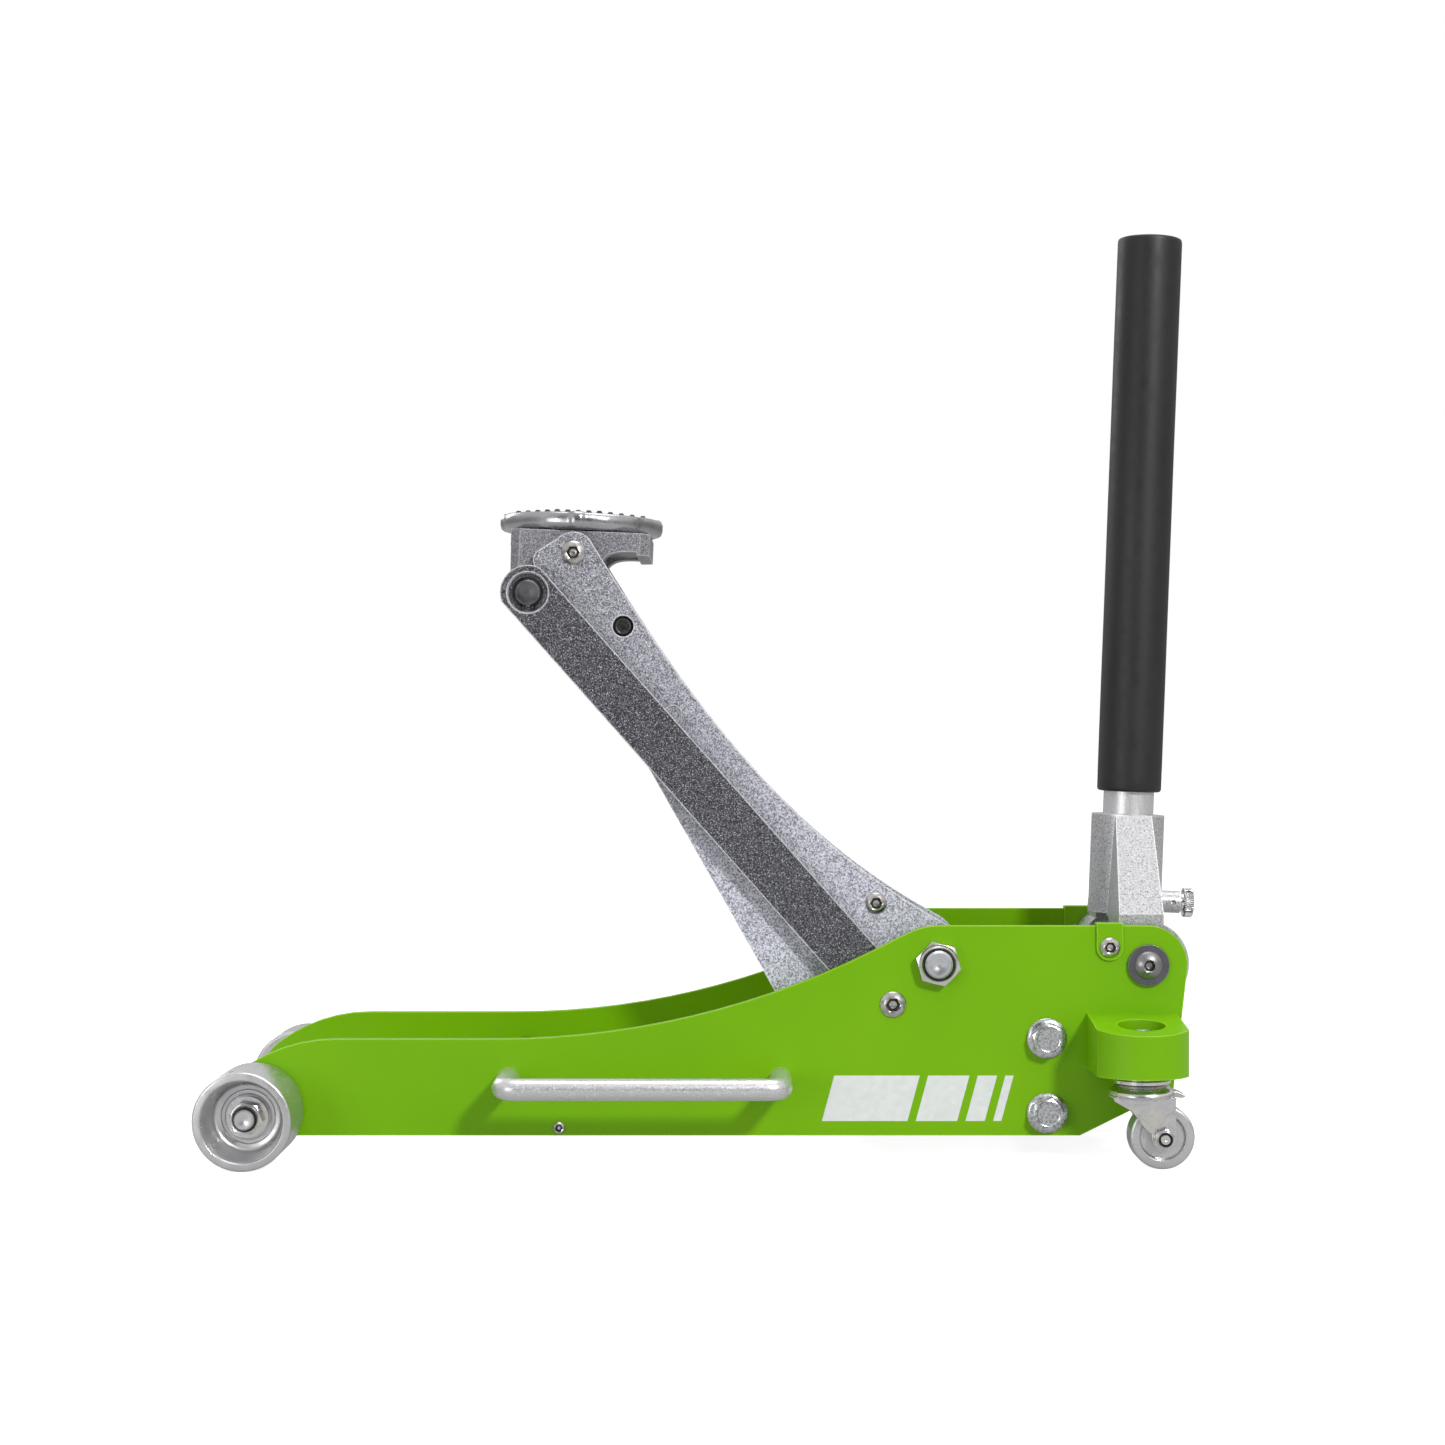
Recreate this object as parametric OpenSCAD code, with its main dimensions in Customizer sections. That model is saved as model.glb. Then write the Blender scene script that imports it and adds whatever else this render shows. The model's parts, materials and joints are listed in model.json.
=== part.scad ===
// Low-profile trolley jack. Millimetres, +Z up, -X towards the saddle end,
// +X towards the handle end, origin on the floor under the middle of the jack.
// Left is -Y and right is +Y. Paired pieces are drawn for the right side and mirrored.

/* [Frame] */
// Distance over the outer faces of the two side plates
frame_w = 175; // [170:1:180]
// Thickness of each side plate
plate_t = 6; // [5:0.5:7]
// Height of the side plates' bottom edge above the floor
plate_bottom = 16.5; // [14:0.5:20]
// Height of the side plates' low front stretch
plate_front_top = 86.4; // [82:0.2:90]
// Height of the side plates' rear top edge
plate_rear_top = 168.5; // [166:0.5:172]
// Radius of the sweep between the front and rear heights
plate_sweep_r = 610; // [600:5:625]

/* [Lift arm] */
// Distance from the main pivot to the arm's top pivot
arm_len = 400; // [390:1:410]
// Angle of the raised arm from the +X direction
arm_angle = 131.6; // [130:0.2:133]
// Thickness of each arm plate
arm_t = 10; // [8:0.5:10]
// Width of a link bar
bar_w = 37.4; // [34:0.2:38]
// Thickness of a link bar
bar_t = 8; // [7:0.5:8]
// Distance from the main pivot to the lever pin
lever_r = 80; // [78:0.5:82]

/* [Saddle] */
// Diameter of the saddle cup
saddle_d = 119.5; // [112:0.5:124]
// Lean of the saddle and its bracket towards the handle, in degrees
saddle_lean = 2.4; // [0:0.1:3]

/* [Rollers and casters] */
// Diameter of the front rollers
roller_d = 70; // [69:0.5:70]
// Width of the front rollers
roller_w = 55.5; // [50:0.5:58]
// Diameter of the caster wheels
caster_d = 45.6; // [44:0.2:45.6]
// Width of the caster wheels
caster_w = 20; // [18:0.5:21]
// Height of the caster brackets at the side plate
bracket_h = 39.3; // [36:0.1:42]

/* [Handle] */
// Diameter of the handle tube
tube_d = 38; // [37:0.5:38]
// Outer diameter of the foam sleeve
grip_d = 48.3; // [46:0.1:52]
// Height of the handle's top end above the floor
handle_top = 682; // [600:1:720]
// Lean of the handle towards the rear, in degrees
handle_lean = 2.2; // [0:0.1:3]
// Diameter of the grab handle rods
grab_d = 15.5; // [14:0.5:16]
// Gap between a side plate and its grab handle's rod centre
grab_reach = 55; // [50:1:60]

/* [Hidden] */

round_fn = 96;
running_gap = 0.05;      // radial clearance of a running fit

// Frame, across the jack (distances from the middle plane)
plate_out = frame_w / 2;
plate_in = plate_out - plate_t;
bar_out = plate_in - 4;
bar_in = bar_out - bar_t;
arm_out = bar_in - 5;
arm_in = arm_out - arm_t;

// Side plate outline, as [x, z]
front_axle_pos = [-330, roller_d / 2];
nose_r = 28;
crown_r = 119;
crown_c = [-272, plate_front_top - crown_r];
crown_angle = 127.4;
nose_c = crown_c + (crown_r - nose_r) * [cos(crown_angle), sin(crown_angle)];
nose_end_angle = 180 + asin((nose_c[1] - plate_bottom) / nose_r);
sweep_start = -155;
sweep_angle = 26.6;
sweep_end = [sweep_start + plate_sweep_r * sin(sweep_angle),
             plate_front_top + plate_sweep_r * (1 - cos(sweep_angle))];
shoulder_r = 50;
shoulder_z = plate_rear_top - shoulder_r;
shoulder_x = sweep_end[0]
    + (shoulder_z + shoulder_r * cos(sweep_angle) - sweep_end[1]) / tan(sweep_angle)
    + shoulder_r * sin(sweep_angle);
yoke_pivot = [316.5, 140];
rear_r = plate_rear_top - yoke_pivot[1];
rear_slant = 6.5;
rear_low_z = 50;
rear_end = yoke_pivot + rear_r * [cos(-rear_slant), sin(-rear_slant)];
rear_low = [rear_end[0] - (rear_end[1] - rear_low_z) * tan(rear_slant), rear_low_z];
rear_toe_x = 267;
plate_outline = concat(
    arc(nose_c, nose_r, nose_end_angle, crown_angle, 12),
    arc(crown_c, crown_r, crown_angle, 90, 6),
    arc([sweep_start, plate_front_top + plate_sweep_r], plate_sweep_r,
        -90, -90 + sweep_angle, 14),
    arc([shoulder_x, shoulder_z], shoulder_r, 90 + sweep_angle, 90, 5),
    arc(yoke_pivot, rear_r, 90, -rear_slant, 16),
    [rear_low, [rear_toe_x, plate_bottom]]
);

// Lift linkage: main pivot, link lower pivot, and the arm's own frame, in which
// u runs from the main pivot to the top pivot and w across it, down and forwards
main_pivot = [164, 141.4];
link_offset = [-32.5, -30];
link_low = main_pivot + link_offset;
arm_top = main_pivot + arm_len * [cos(arm_angle), sin(arm_angle)];
link_top = arm_top + link_offset;
lever_angle = 30;                          // lever pin, forward of straight down
lever_pos = main_pivot - lever_r * [sin(lever_angle), cos(lever_angle)];
lever_turn = 270 - lever_angle - arm_angle;
lever_uw = lever_r * [cos(lever_turn), sin(lever_turn)];
hub_r = 27;
lever_boss_r = 16;
lever_tangent = lever_turn + acos((hub_r - lever_boss_r) / lever_r);
arm_tip_r = 15.5;
arm_corner = [arm_len + 9.5, 19];
arm_corner_r = 9;
arm_edge_angle = 77.8;
arm_heel = [61, 103];
arm_outline = concat(
    arc([arm_len, 0], arm_tip_r, -98.5, 5, 10),
    arc(arm_corner, arm_corner_r, 0, arm_edge_angle, 7),
    [arm_heel],
    arc(lever_uw, lever_boss_r, 95, lever_tangent, 10),
    arc([0, 0], hub_r, lever_tangent, 297, 12),
    curve([13, -24], [130, 18], [250, 12], [arm_len - 2.3, -15.3], 20)
);
rear_tube_uw = [60, 4.6];
front_tube_uw = [335.4, 8.5];
lightening_hole_uw = [262.7, 23.9];
main_shaft_r = 10;
sleeve_r = 17;
link_pin_r = 9.25;
link_screw_r = 8;
top_screw_r = 8;
lever_pin_r = 9;

// Hydraulic unit
ram_z = 66;
unit_front = 224;
unit_bolt_x = 243;
unit_bolt_z = [33, 87];
unit_lug_back = 262;
block_back = 288;
block_half_w = 35;
block_z = [22, 132];
lug_top = 98;
cylinder_r = 27;
cylinder_bore_r = 19;
cylinder_back = 336;
gland_t = 7;
rod_r = 13;
piston_t = 12;
ram_ratio = 77.2;                          // ram travel for each radian of the lift arm
slot_x = main_pivot[0] - ram_ratio * lever_angle * PI / 180;
crosshead_half = 18;
slot_gap = 1;
slot_z = [51, 84];
piston_x = unit_front + gland_t + 2.6;
tank_r = 40;
spring_y = 47;
spring_r = 5.5;

// Yoke, handle and pumps. Along the handle's axis, t is counted from the pivot's height
handle_foot = [yoke_pivot[0] - 4.5, yoke_pivot[1]];
ear_r = 31.5;
ear_in = 36;
ear_out = 78;
socket_r = 27.35;
socket_t = [32, 106.4];
tube_bottom_t = 36.2;
plug_r = 16;
plug_len = 20;
grip_bottom_t = 123.8;
handle_top_t = (handle_top - handle_foot[1]) / cos(handle_lean);
knob_t = 41;
cam_r = 7;
cam_offset = 24;
cam_angle = 25;                            // cam pins, rearward of straight down
cam_pos = yoke_pivot + cam_offset * [sin(cam_angle), -cos(cam_angle)];
plunger_y = 25;
plunger_r = 6;
plunger_gap = 0.6;
plunger_back = cam_pos[0] - cam_r - plunger_gap;
plunger_z = 118;
plunger_head_t = 4;
plunger_front = 268;
spring_seat = 276;
spindle_lean = 45;
spindle_len = 55;

// Rollers and casters
axle_r = 10;
axle_end_r = 7.2;
roller_in = plate_out + 1.5;
roller_floor = 29.5;
kingpin = [305.5, plate_out + 36];
kingpin_r = 6;
bracket_half_w = 32.5;
bracket_x = kingpin[0] - 1;
bracket_bottom = 66;
bracket_flat = 49;
bracket_reach = 69.5;
bracket_slope = 0.12;
pocket_r = 17;
pocket_floor = 80;
caster_trail = 13.5;
caster_axle = [kingpin[0] + caster_trail, caster_d / 2];
fork_in = caster_w / 2 + 1.5;
fork_t = 2.5;
grab_x = [-147.3, 49.7];
grab_z = 57.8;
grab_bend_r = 10;
tie_pos = [-110.5, 22];
clip_pos = [288.5, 153];
clip_half_w = 9.6;
clip_t = 2;

// Colours
paint_green = [0.44, 0.68, 0.02];
cast_silver = [0.72, 0.72, 0.73];
dark_bar = [0.32, 0.33, 0.36];
zinc = [0.80, 0.81, 0.83];
dark_steel = [0.22, 0.22, 0.24];
satin = [0.86, 0.86, 0.86];
foam_black = [0.07, 0.07, 0.08];

// ---- helpers ----

// Points of an arc about c, from angle a0 to a1
function arc(c, r, a0, a1, n) =
    [for (i = [0:n]) let (a = a0 + (a1 - a0) * i / n) c + r * [cos(a), sin(a)]];

// Points of a cubic curve, its two ends included
function curve(p0, p1, p2, p3, n) =
    [for (i = [0:n]) let (t = i / n, s = 1 - t)
        s * s * s * p0 + 3 * s * s * t * p1 + 3 * s * t * t * p2 + t * t * t * p3];

// Mirrors a right-side piece to the left when s is -1
module on_side(s) mirror([0, s < 0 ? 1 : 0, 0]) children();

// Draws a right-side piece on both sides
module both_sides() {
    on_side(1) children();
    on_side(-1) children();
}

// Moves a piece to an [x, z] position
module at(p) translate([p[0], 0, p[1]]) children();

// Cylinder along Y
module rod_y(r, y0, y1, fn = round_fn)
    translate([0, y0, 0]) rotate([-90, 0, 0]) cylinder(r = r, h = y1 - y0, $fn = fn);

// Cylinder along X
module rod_x(r, x0, x1, fn = round_fn)
    translate([x0, 0, 0]) rotate([0, 90, 0]) cylinder(r = r, h = x1 - x0, $fn = fn);

// Ring along Y
module ring_y(r_in, r_out, y0, y1) difference() {
    rod_y(r_out, y0, y1);
    rod_y(r_in, y0 - 1, y1 + 1);
}

// Turns a [radius, distance along Y] outline about the Y axis
module turned_y() rotate([-90, 0, 0]) rotate_extrude($fn = round_fn) children();

// Plate between y0 and y1 with an [x, z] outline
module plate_xz(y0, y1) translate([0, y1, 0]) rotate([90, 0, 0])
    linear_extrude(y1 - y0) children();

// Places a piece drawn in the arm's [u, w] frame
module in_arm() at(main_pivot) rotate([0, -arm_angle, 0]) children();

// Places a piece drawn about the arm's top pivot, leaning with the saddle
module in_saddle() at(arm_top) rotate([0, saddle_lean, 0]) children();

// Places a piece drawn along the handle's axis, +Z up the handle
module in_handle() at(handle_foot) rotate([0, handle_lean, 0]) children();

// Hexagon head along +Y with its outer corners turned off
module hex_head(af, h) intersection() {
    rod_y(af / sqrt(3), 0, h, 6);
    translate([0, h - af, 0]) sphere(r = af * 1.075, $fn = round_fn);
}

// Round head screw with a hexagon socket, head from y = 0 outwards
module button_screw(head_r, head_h, shank_r, depth) {
    rise = head_h * 0.7;
    ball_r = (head_r * head_r + rise * rise) / (2 * rise);
    difference() {
        union() {
            intersection() {
                rod_y(head_r, 0, head_h);
                translate([0, head_h - ball_r, 0]) sphere(r = ball_r, $fn = round_fn);
            }
            rod_y(shank_r, -depth, 0.1);
        }
        rod_y(head_r * 0.36, head_h * 0.35, head_h + 1, 6);
    }
}

// ---- frame ----

module side_plate() color(paint_green) difference() {
    plate_xz(plate_in, plate_out) polygon(plate_outline);
    at(front_axle_pos) rod_y(axle_r, plate_in - 1, plate_out + 1);
    at(main_pivot) rod_y(main_shaft_r, plate_in - 1, plate_out + 1);
    at(link_low) rod_y(link_screw_r, plate_in - 1, plate_out + 1);
    at(yoke_pivot) rod_y(8, plate_in - 1, plate_out + 1);
    at(tie_pos) rod_y(3, plate_in - 1, plate_out + 1);
    at(clip_pos) rod_y(3.5, plate_in - 1, plate_out + 1);
    for (z = unit_bolt_z) at([unit_bolt_x, z]) rod_y(6, plate_in - 1, plate_out + 1);
    for (x = grab_x) at([x, grab_z]) rod_y(grab_d / 2, plate_in - 1, plate_out + 1);
    for (x = [-17, 17]) at([kingpin[0] + x, 76]) rod_y(4, plate_in - 1, plate_out + 1);
}

module side_plate_left() on_side(-1) side_plate();
module side_plate_right() on_side(1) side_plate();

module front_tie_bar() color(dark_steel) difference() {
    at(tie_pos) translate([-8, -plate_in, -4]) cube([16, 2 * plate_in, 8]);
    both_sides() at(tie_pos) rod_y(3, plate_in - 15, plate_in + 1);
}

// Tie bar screws below, clip screws above
module frame_button_screws() color(zinc) both_sides() {
    at(tie_pos) translate([0, plate_out, 0]) button_screw(5, 3, 3, 20);
    at(clip_pos) translate([0, plate_out + clip_t, 0]) button_screw(7.5, 4.5, 3.5, 10);
}

// Bent strip over the plate's top edge, one on each plate
module clip_brackets() color(paint_green) both_sides() {
    difference() {
        union() {
            at(clip_pos) rod_y(clip_half_w, plate_out, plate_out + clip_t);
            translate([clip_pos[0] - clip_half_w, plate_out, clip_pos[1]])
                cube([2 * clip_half_w, clip_t, plate_rear_top - clip_pos[1] + clip_t]);
            translate([clip_pos[0] - clip_half_w, plate_in - clip_t, plate_rear_top])
                cube([2 * clip_half_w, plate_t + 2 * clip_t, clip_t]);
            translate([clip_pos[0] - clip_half_w, plate_in - clip_t, clip_pos[1] - 8])
                cube([2 * clip_half_w, clip_t, plate_rear_top - clip_pos[1] + 8 + clip_t]);
        }
        at(clip_pos) rod_y(3.5, plate_in - 3, plate_out + clip_t + 1);
    }
}

module grab_handle() color(satin) translate([0, 0, grab_z]) {
    y = plate_out + grab_reach;
    for (i = [0, 1]) translate([grab_x[i], 0, 0]) mirror([i, 0, 0]) {
        rod_y(grab_d / 2, plate_in, y - grab_bend_r);
        translate([grab_bend_r, y - grab_bend_r, 0]) rotate([0, 0, 90])
            rotate_extrude(angle = 90, $fn = round_fn)
                translate([grab_bend_r, 0]) circle(d = grab_d, $fn = round_fn);
    }
    translate([0, y, 0])
        rod_x(grab_d / 2, grab_x[0] + grab_bend_r, grab_x[1] - grab_bend_r);
}

module grab_handle_left() on_side(-1) grab_handle();
module grab_handle_right() on_side(1) grab_handle();

// Low heads inside the plates, for the grab handles and the caster brackets
module inner_screws() color(dark_steel) both_sides() {
    for (x = grab_x) at([x, grab_z]) translate([0, plate_in - 3, 0]) ring_y(2, 9, 0, 3);
    for (x = [-17, 17]) at([kingpin[0] + x, 76]) {
        translate([0, plate_in - 3, 0]) ring_y(2, 8, 0, 3);
        ring_y(2, 4, plate_in, plate_out);
    }
}

module unit_bolts() color(zinc) both_sides() for (z = unit_bolt_z)
    at([unit_bolt_x, z]) translate([0, plate_out, 0]) {
        rod_y(14.5, 0, 2.6);
        translate([0, 2.4, 0]) rotate([0, 12, 0]) hex_head(21, 9.5);
        rod_y(6, -30, 0.1);
    }

module main_shaft() color(zinc) at(main_pivot) rod_y(main_shaft_r, -plate_out - 15, plate_out + 15);

module main_shaft_nuts() color(zinc) both_sides() at(main_pivot)
    translate([0, plate_out, 0]) difference() {
        union() {
            rod_y(16, 0, 1.5);
            translate([0, 1.4, 0]) rotate([0, 17, 0]) hex_head(29, 11);
        }
        rod_y(main_shaft_r, -1, 20);
    }

// Spacers on the main shaft, the link pivots and the yoke pivots
module pivot_spacers() color(dark_steel) both_sides() {
    at(main_pivot) ring_y(main_shaft_r, 16, arm_out + 0.4, plate_in);
    at(link_low) ring_y(link_screw_r, 14, bar_out + 0.3, plate_in);
    at(yoke_pivot) ring_y(8, 13, ear_out + 0.4, plate_in);
}

module link_lower_pins() color(zinc) both_sides() at(link_low)
    translate([0, plate_out, 0])
        button_screw(9.8, 5, link_screw_r, plate_out - bar_in - 0.3);

module yoke_pivot_washers() color(dark_steel) both_sides() at(yoke_pivot)
    ring_y(8, 15, plate_out, plate_out + 3);

module yoke_pivot_screws() color(zinc) both_sides() at(yoke_pivot)
    translate([0, plate_out + 3, 0]) button_screw(8.7, 5, 8, plate_out + 3 - ear_in - 4);

// ---- hydraulic unit ----

module pump_block() color(dark_steel) difference() {
    union() {
        translate([unit_front, -plate_in, block_z[0]])
            cube([unit_lug_back - unit_front, 2 * plate_in, lug_top - block_z[0]]);
        translate([unit_front, -block_half_w, block_z[0]])
            cube([block_back - unit_front, 2 * block_half_w, block_z[1] - block_z[0]]);
    }
    translate([0, 0, ram_z]) rod_x(cylinder_r, unit_front - 1, block_back + 1);
    both_sides() {
        for (z = unit_bolt_z) at([unit_bolt_x, z]) rod_y(6, plate_in - 24, plate_in + 1);
        translate([0, spring_y, ram_z]) rod_x(spring_r + 1.2, unit_front - 1, unit_lug_back + 1);
        translate([0, plunger_y, plunger_z]) {
            rod_x(plunger_r + running_gap, plunger_front - 27, block_back);
            rod_x(8.3, spring_seat, block_back + 1);
        }
    }
    at(handle_foot) rotate([0, 180 + spindle_lean, 0])
        cylinder(r = 6 + running_gap, h = spindle_len + 1, $fn = round_fn);
}

module ram_cylinder() color(zinc) translate([0, 0, ram_z]) difference() {
    rod_x(cylinder_r, unit_front, cylinder_back);
    rod_x(cylinder_bore_r, unit_front + gland_t, cylinder_back - 5);
    rod_x(rod_r + running_gap, unit_front - 1, unit_front + gland_t + 1);
}

// Oil tank round the rear of the cylinder, with lugs that hold the return springs
module reservoir_tank() color(dark_steel) {
    translate([0, 0, ram_z]) difference() {
        rod_x(tank_r, block_back, cylinder_back);
        rod_x(tank_r - 3, block_back - 1, cylinder_back + 1);
    }
    translate([cylinder_back, 0, ram_z]) {
        rod_x(tank_r, 0, 5);
        translate([1, -spring_y - spring_r, -8]) cube([4, 2 * (spring_y + spring_r), 16]);
    }
}

module ram_rod() color(satin) translate([0, 0, ram_z]) {
    rod_x(rod_r, slot_x + crosshead_half - 4, piston_x + 1);
    rod_x(cylinder_bore_r - running_gap, piston_x, piston_x + piston_t);
}

// Block with an upright slot that the lever pin works in
module crosshead() color(dark_steel) translate([slot_x, 0, 0]) difference() {
    union() {
        translate([-crosshead_half, -22, slot_z[0] - 6])
            cube([2 * crosshead_half, 44, slot_z[1] - slot_z[0] + 12]);
        translate([crosshead_half - 7, -spring_y - spring_r, ram_z - 7])
            cube([7, 2 * (spring_y + spring_r), 14]);
    }
    translate([-lever_pin_r - slot_gap, -60, slot_z[0]])
        cube([2 * (lever_pin_r + slot_gap), 120, slot_z[1] - slot_z[0]]);
    translate([0, 0, ram_z]) rod_x(rod_r, crosshead_half - 4, crosshead_half + 1);
}

// Closed outer shape of the two springs that draw the ram back
module return_springs() color(zinc) both_sides() translate([0, spring_y, ram_z])
    rod_x(spring_r, slot_x + crosshead_half, cylinder_back + 1);

module pump_plungers() color(satin) both_sides() translate([0, plunger_y, plunger_z]) {
    rod_x(plunger_r, plunger_front, plunger_back - plunger_head_t + 1);
    rod_x(8, plunger_back - plunger_head_t, plunger_back);
}

module plunger_springs() color(zinc) both_sides() translate([0, plunger_y, plunger_z])
    difference() {
        rod_x(8, spring_seat, plunger_back - plunger_head_t);
        rod_x(6.2, spring_seat - 1, plunger_back);
    }

// Release valve spindle with a ball head under the handle
module release_spindle() color(satin) at(handle_foot) rotate([0, 180 + spindle_lean, 0]) {
    sphere(r = 9, $fn = round_fn);
    cylinder(r = 6, h = spindle_len, $fn = round_fn);
}

// ---- lift arm and linkage ----

module arm_plate() color(cast_silver) in_arm() difference() {
    plate_xz(arm_in, arm_out) polygon(arm_outline);
    rod_y(sleeve_r, arm_in - 1, arm_out + 1);
    at([arm_len, 0]) rod_y(top_screw_r + running_gap, arm_in - 1, arm_out + 1);
    at(lever_uw) rod_y(lever_pin_r, arm_in - 1, arm_out + 1);
    at(lightening_hole_uw) rod_y(6, arm_in - 1, arm_out + 1);
    at(rear_tube_uw) rod_y(4, arm_in - 1, arm_out + 1);
    at(front_tube_uw) {
        rod_y(4, arm_in - 1, arm_out + 1);
        rod_y(7.8, arm_out - 4, arm_out + 1);
    }
}

module lift_arm_left() on_side(-1) arm_plate();
module lift_arm_right() on_side(1) arm_plate();

module arm_pivot_sleeve() color(zinc) at(main_pivot)
    ring_y(main_shaft_r + running_gap, sleeve_r, -arm_out, arm_out);

module arm_cross_tubes() color(dark_steel) in_arm()
    for (p = [rear_tube_uw, front_tube_uw]) at(p) ring_y(4, 9, -arm_in, arm_in);

module arm_button_screws() color(zinc) both_sides() in_arm() at(rear_tube_uw)
    translate([0, arm_out, 0]) button_screw(8.1, 4.2, 4, arm_t + 15);

// Black screws sunk flush into the arm plates
module arm_set_screws() color(dark_steel) both_sides() in_arm() at(front_tube_uw)
    translate([0, arm_out - 4, 0]) button_screw(7.5, 3.9, 4, arm_t + 10);

module lever_pin() color(satin) at(lever_pos) rod_y(lever_pin_r, -arm_out, arm_out);

module link_bar() color(dark_bar) difference() {
    plate_xz(bar_in, bar_out) translate(link_low) rotate(arm_angle) intersection() {
        translate([-bar_w, -bar_w / 2]) square([arm_len + 2 * bar_w, bar_w]);
        union() {
            translate([0, -bar_w / 2]) square([arm_len, bar_w]);
            for (u = [0, arm_len]) translate([u, 0]) circle(r = 20.2, $fn = round_fn);
        }
    }
    at(link_low) rod_y(link_screw_r + running_gap, bar_in - 1, bar_out + 1);
    at(link_top) {
        rod_y(link_pin_r + running_gap, bar_in - 1, bar_out + 1);
        rod_y(15, bar_out - 3, bar_out + 1);
    }
}

module link_bar_left() on_side(-1) link_bar();
module link_bar_right() on_side(1) link_bar();

// ---- saddle ----

// Side view of the bracket's outer walls, about the arm's top pivot
bracket_back = 55.3;
bracket_front = -47.7;
bracket_top = 17;
bracket_wall_in = 35.5;
bracket_wall_out = 53.5;
saddle_x = 1.5;
post_r = 15;
pin_local = [link_offset[0] * cos(saddle_lean) - link_offset[1] * sin(saddle_lean),
             link_offset[0] * sin(saddle_lean) + link_offset[1] * cos(saddle_lean)];
bracket_wall = concat(
    arc([pin_local[0], pin_local[1]], 15.5, 180, 300, 10),
    arc([0, 0], 16, 270, 330, 6),
    curve([21, -4], [25, 1.5], [31, 2.6], [40, 2.8], 8),
    [[46, 2.8], [46, 0.6], [bracket_back, 0.6], [bracket_back, bracket_top],
     [bracket_front, bracket_top]]
);
corner_cut = 7;

module saddle_bracket() color(cast_silver) in_saddle() difference() {
    union() {
        intersection() {
            union() {
                both_sides() plate_xz(bracket_wall_in, bracket_wall_out)
                    polygon(bracket_wall);
                translate([bracket_front, -bracket_wall_out, 4.6])
                    cube([bracket_back - bracket_front, 2 * bracket_wall_out, bracket_top - 4.6]);
                translate([46, -bracket_wall_out, 0.6])
                    cube([bracket_back - 46, 2 * bracket_wall_out, bracket_top - 0.6]);
            }
            translate([0, 0, -60]) linear_extrude(100) both_sides() polygon([
                [bracket_front, -1], [bracket_back, -1],
                [bracket_back, bracket_wall_out - corner_cut],
                [bracket_back - corner_cut, bracket_wall_out],
                [bracket_front + corner_cut, bracket_wall_out],
                [bracket_front, bracket_wall_out - corner_cut]
            ]);
        }
        translate([saddle_x, 0, -18]) cylinder(r = 20, h = 34, $fn = round_fn);
        both_sides() at(pin_local) rod_y(12.5, bracket_wall_in, bar_in - 0.3);
    }
    translate([saddle_x, 0, -20])
        cylinder(r = post_r + running_gap, h = 50, $fn = round_fn);
    both_sides() rod_y(top_screw_r, bracket_wall_out - 15, bracket_wall_out + 1);
    at(pin_local) rod_y(link_pin_r, -bar_in, bar_in);
}

module arm_top_screws() color(zinc) both_sides() at(arm_top)
    translate([0, arm_out + 0.2, 0])
        button_screw(9, 4.3, top_screw_r, arm_out + 0.2 - bracket_wall_out + 14);

module link_top_pin() color(dark_steel) at(link_top) difference() {
    rod_y(link_pin_r, -bar_out, bar_out);
    both_sides() ring_y(8, 12, bar_out - 2.7, bar_out - 1.1);
}

module link_pin_circlips() color(dark_steel) both_sides() at(link_top) difference() {
    ring_y(8, 12.4, bar_out - 2.7, bar_out - 1.1);
    translate([-2.5, bar_out - 4, -14]) cube([5, 4, 14]);
}

// Cup with four small ears on its rim and a post that turns in the bracket
module saddle() color(cast_silver) in_saddle() translate([saddle_x, 0, 0]) difference() {
    union() {
        translate([0, 0, bracket_top + 0.3]) cylinder(d = saddle_d, h = 13.2, $fn = round_fn);
        for (a = [0:90:270]) rotate([0, 0, a])
            translate([saddle_d / 2 - 4, 0, bracket_top + 0.3])
                cylinder(r = 5.2, h = 14.4, $fn = round_fn);
        translate([0, 0, -17]) cylinder(r = post_r, h = 40, $fn = round_fn);
    }
    translate([0, 0, bracket_top + 5.3]) cylinder(d = saddle_d - 12, h = 30, $fn = round_fn);
}

module saddle_pad() color(foam_black) in_saddle()
    translate([saddle_x, 0, bracket_top + 5.3])
        cylinder(d = saddle_d - 12.6, h = 10.6, $fn = round_fn);

// ---- front rollers ----

module front_axle() color(zinc) at(front_axle_pos) {
    rod_y(axle_r, -roller_in - roller_floor, roller_in + roller_floor);
    both_sides() rod_y(axle_end_r, roller_in + roller_floor - 1, roller_in + 46.5);
}

module front_axle_washers() color(zinc) both_sides() at(front_axle_pos) {
    y = roller_in + roller_floor;
    ring_y(axle_end_r, 15, y, y + 2.5);
    ring_y(axle_r, 17, plate_out, roller_in - 0.3);
}

module front_axle_nuts() color(zinc) both_sides() at(front_axle_pos)
    translate([0, roller_in + roller_floor + 2.5, 0]) difference() {
        rotate([0, 8, 0]) hex_head(21, 11);
        rod_y(axle_end_r, -1, 20);
    }

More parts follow.
